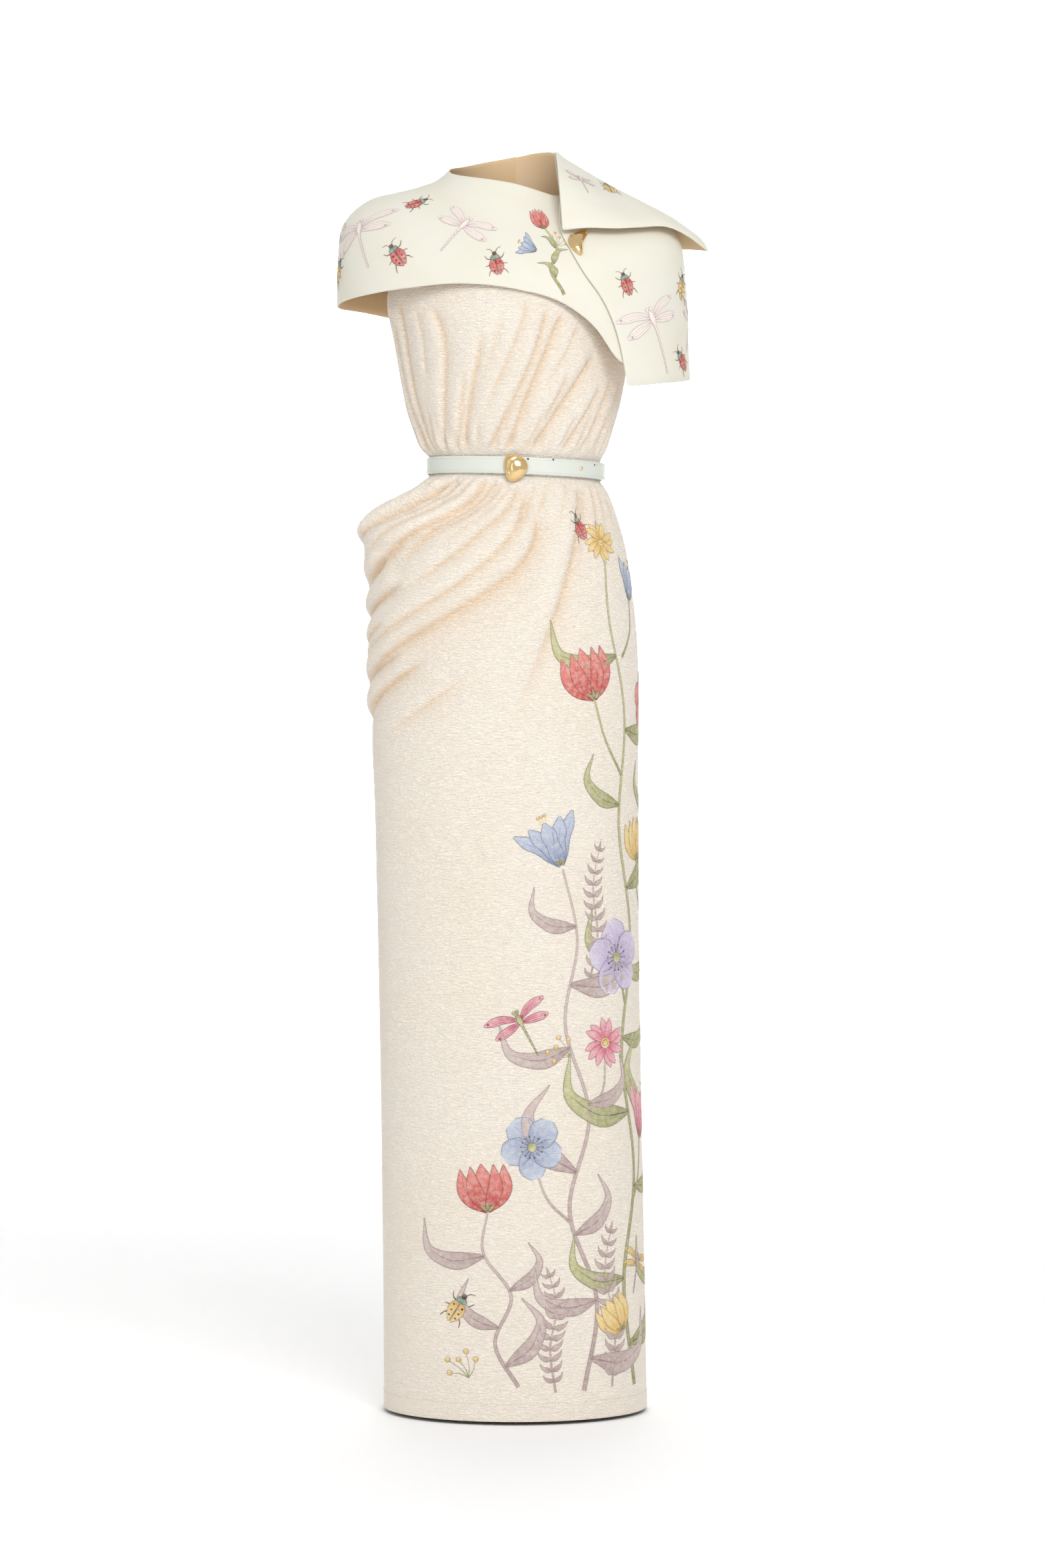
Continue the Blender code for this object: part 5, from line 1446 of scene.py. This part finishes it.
def layPrint(name, drawings, surface, look):
    # drawings: pairs of a drawing and the map that lays it on the surface
    columns = {key: [] for key in ("p", "q", "out", "wash", "line", "marks", "place", "faces")}
    total = 0
    for drawing, toSurface in drawings:
        for flat, wash, line, marks, layer in drawing.parts:
            rows, cols = flat.shape[:2]
            count = rows * cols
            p, q = toSurface(flat[..., 0].ravel(), flat[..., 1].ravel())
            grid = np.arange(count).reshape(rows, cols) + total
            quads = np.stack([grid[:-1, :-1], grid[1:, :-1], grid[1:, 1:], grid[:-1, 1:]], axis=-1)
            for key, value in (
                ("p", p), ("q", q), ("out", np.full(count, printLook["lift"] + layer * printLook["layer"])),
                ("wash", wash.reshape(-1, 4)), ("line", np.tile(line, (count, 1))),
                ("marks", marks.reshape(-1, 3)),
                ("place", np.concatenate([flat.reshape(-1, 2), np.zeros((count, 1))], axis=1)),
                ("faces", quads.reshape(-1, 4)),
            ):
                columns[key].append(value)
            total += count
    whole = {key: np.concatenate(values) for key, values in columns.items()}
    points = surface(whole["p"], whole["q"], whole["out"])
    made = addMesh(name, points, whole["faces"], None, [materials[look]], {
        "washColour": ("FLOAT_COLOR", whole["wash"]), "lineColour": ("FLOAT_COLOR", whole["line"]),
        "drawn": ("FLOAT_VECTOR", whole["marks"]), "clothPlace": ("FLOAT_VECTOR", whole["place"]),
    })
    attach(made, "root")


capeSteps = (0.5, 0.02)
lapelSteps = (0.01, 0.01)
layPrint("skirtPrint", [(drawn(skirtMotifs), skirtPlace)], skirtCloth, "inkOnCrepe")
for name, key, surface, steps in (
    ("wrapPrint", "wrap", wrapCloth, capeSteps), ("capeLeftPrint", "left", capeSurface, capeSteps),
    ("lapelPrint", "lapel", lapelCloth, lapelSteps),
):
    laid = capeDrawings(capeMotifs[key], surface, steps, key != "lapel")
    layPrint(name, laid, surface, "inkOnTwill")
print("print laid")

lapelBead = {"x": 0.0603, "z": -0.0284, "radius": 0.0019}


def addBead():
    # sits on the lapel where the camera sees the place given above
    u, v = np.meshgrid(np.linspace(0, 0.5, 80), np.linspace(0, 0.96, 80))
    points = lapelCloth(u, v, 0.0)
    away = studio["cameraBack"] / (studio["cameraBack"] + points[..., 1])
    seenX = studio["cameraX"] + (points[..., 0] - studio["cameraX"]) * away
    seenZ = studio["cameraZ"] + (points[..., 2] - studio["cameraZ"]) * away
    far = np.hypot(seenX - lapelBead["x"], seenZ - lapelBead["z"])
    k = np.unravel_index(np.argmin(far), far.shape)
    facing = lapelCloth(u, v, 0.01)[k] - points[k]
    made = domeMesh(
        "lapelBead", points[k], facing, (0, 0, 1), lambda turn: np.full_like(turn, lapelBead["radius"]),
        lapelBead["radius"] * 0.9, 12, 28, "bead",
    )
    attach(made, "root")



studio = {
    "cameraBack": 5.0, "cameraX": 0.009, "cameraZ": -0.70, "frameHeight": 1.8816,
    "floorZ": -1.450, "floorReach": 14.0, "coveAt": 6.2, "coveRadius": 1.5,
}


def addCamera():
    data = bpy.data.cameras.new("photoCamera")
    data.sensor_fit = "VERTICAL"
    data.sensor_height = 36
    data.lens = 36 * studio["cameraBack"] / studio["frameHeight"]
    made = bpy.data.objects.new("photoCamera", data)
    made.location = (studio["cameraX"], -studio["cameraBack"], studio["cameraZ"])
    made.rotation_euler = (math.radians(90), 0, 0)
    bpy.context.scene.collection.objects.link(made)
    bpy.context.scene.camera = made


def addFloor():
    # a pale floor that sweeps up behind the dress
    reach = studio["floorReach"]
    turn = np.linspace(0, np.pi / 2, 24)
    start, radius = studio["coveAt"], studio["coveRadius"]
    y = np.concatenate([[-reach], start + radius * np.sin(turn), [start + radius]])
    z = np.concatenate([[0], radius * (1 - np.cos(turn)), [reach]]) + studio["floorZ"]
    points = np.concatenate([np.stack([np.full_like(y, x), y, z], -1) for x in (-reach, reach)])
    n = len(y)
    low = np.arange(n - 1)
    faces = np.stack([low, low + n, low + n + 1, low + 1], -1)
    finish = Finish("paleFloor", 0.9)
    coordinates = Link(finish, finish.node("ShaderNodeTexCoord", {}, {}).outputs["Object"])
    cloudy = finish.noise(coordinates, 3.0) * 0.05
    finish.feed("Base Color", finish.mix(cloudy, colour(252, 252, 252), colour(244, 244, 244)))
    made = addMesh("floorSweep", points, faces, None, [finish.material], {})


def addLight(name, place, target, size, power, spread=180):
    data = bpy.data.lights.new(name, "AREA")
    data.shape = "RECTANGLE"
    data.size, data.size_y = size
    data.energy = power
    data.spread = math.radians(spread)
    made = bpy.data.objects.new(name, data)
    made.location = place
    made.visible_camera = False
    way = np.array(target, float) - np.array(place, float)
    made.rotation_euler = (math.atan2(math.hypot(way[0], way[1]), -way[2]), 0, math.atan2(-way[0], way[1]))
    bpy.context.scene.collection.objects.link(made)


addBead()
addCamera()
addFloor()
addLight("keySoftbox", (0.9, -3.4, 1.5), (0, 0, -0.7), (1.6, 1.6), 72)
addLight("fillSoftbox", (-2.2, -3.4, 0.4), (0, 0, -0.7), (1.6, 2.6), 14)
addLight("backdropLeft", (-4.2, 3.4, 0.8), (0, 7.6, -0.2), (1.0, 3.6), 300, 100)
addLight("backdropRight", (4.2, 3.4, 0.8), (0, 7.6, -0.2), (1.0, 3.6), 300, 100)
world = bpy.data.worlds.new("studioWorld")
bpy.context.scene.world = world
world.use_nodes = True
world.node_tree.nodes["Background"].inputs["Color"].default_value = (1.0, 1.0, 1.0, 1.0)
world.node_tree.nodes["Background"].inputs["Strength"].default_value = 0.64
bpy.context.scene.view_settings.view_transform = "Standard"
print("studio made")
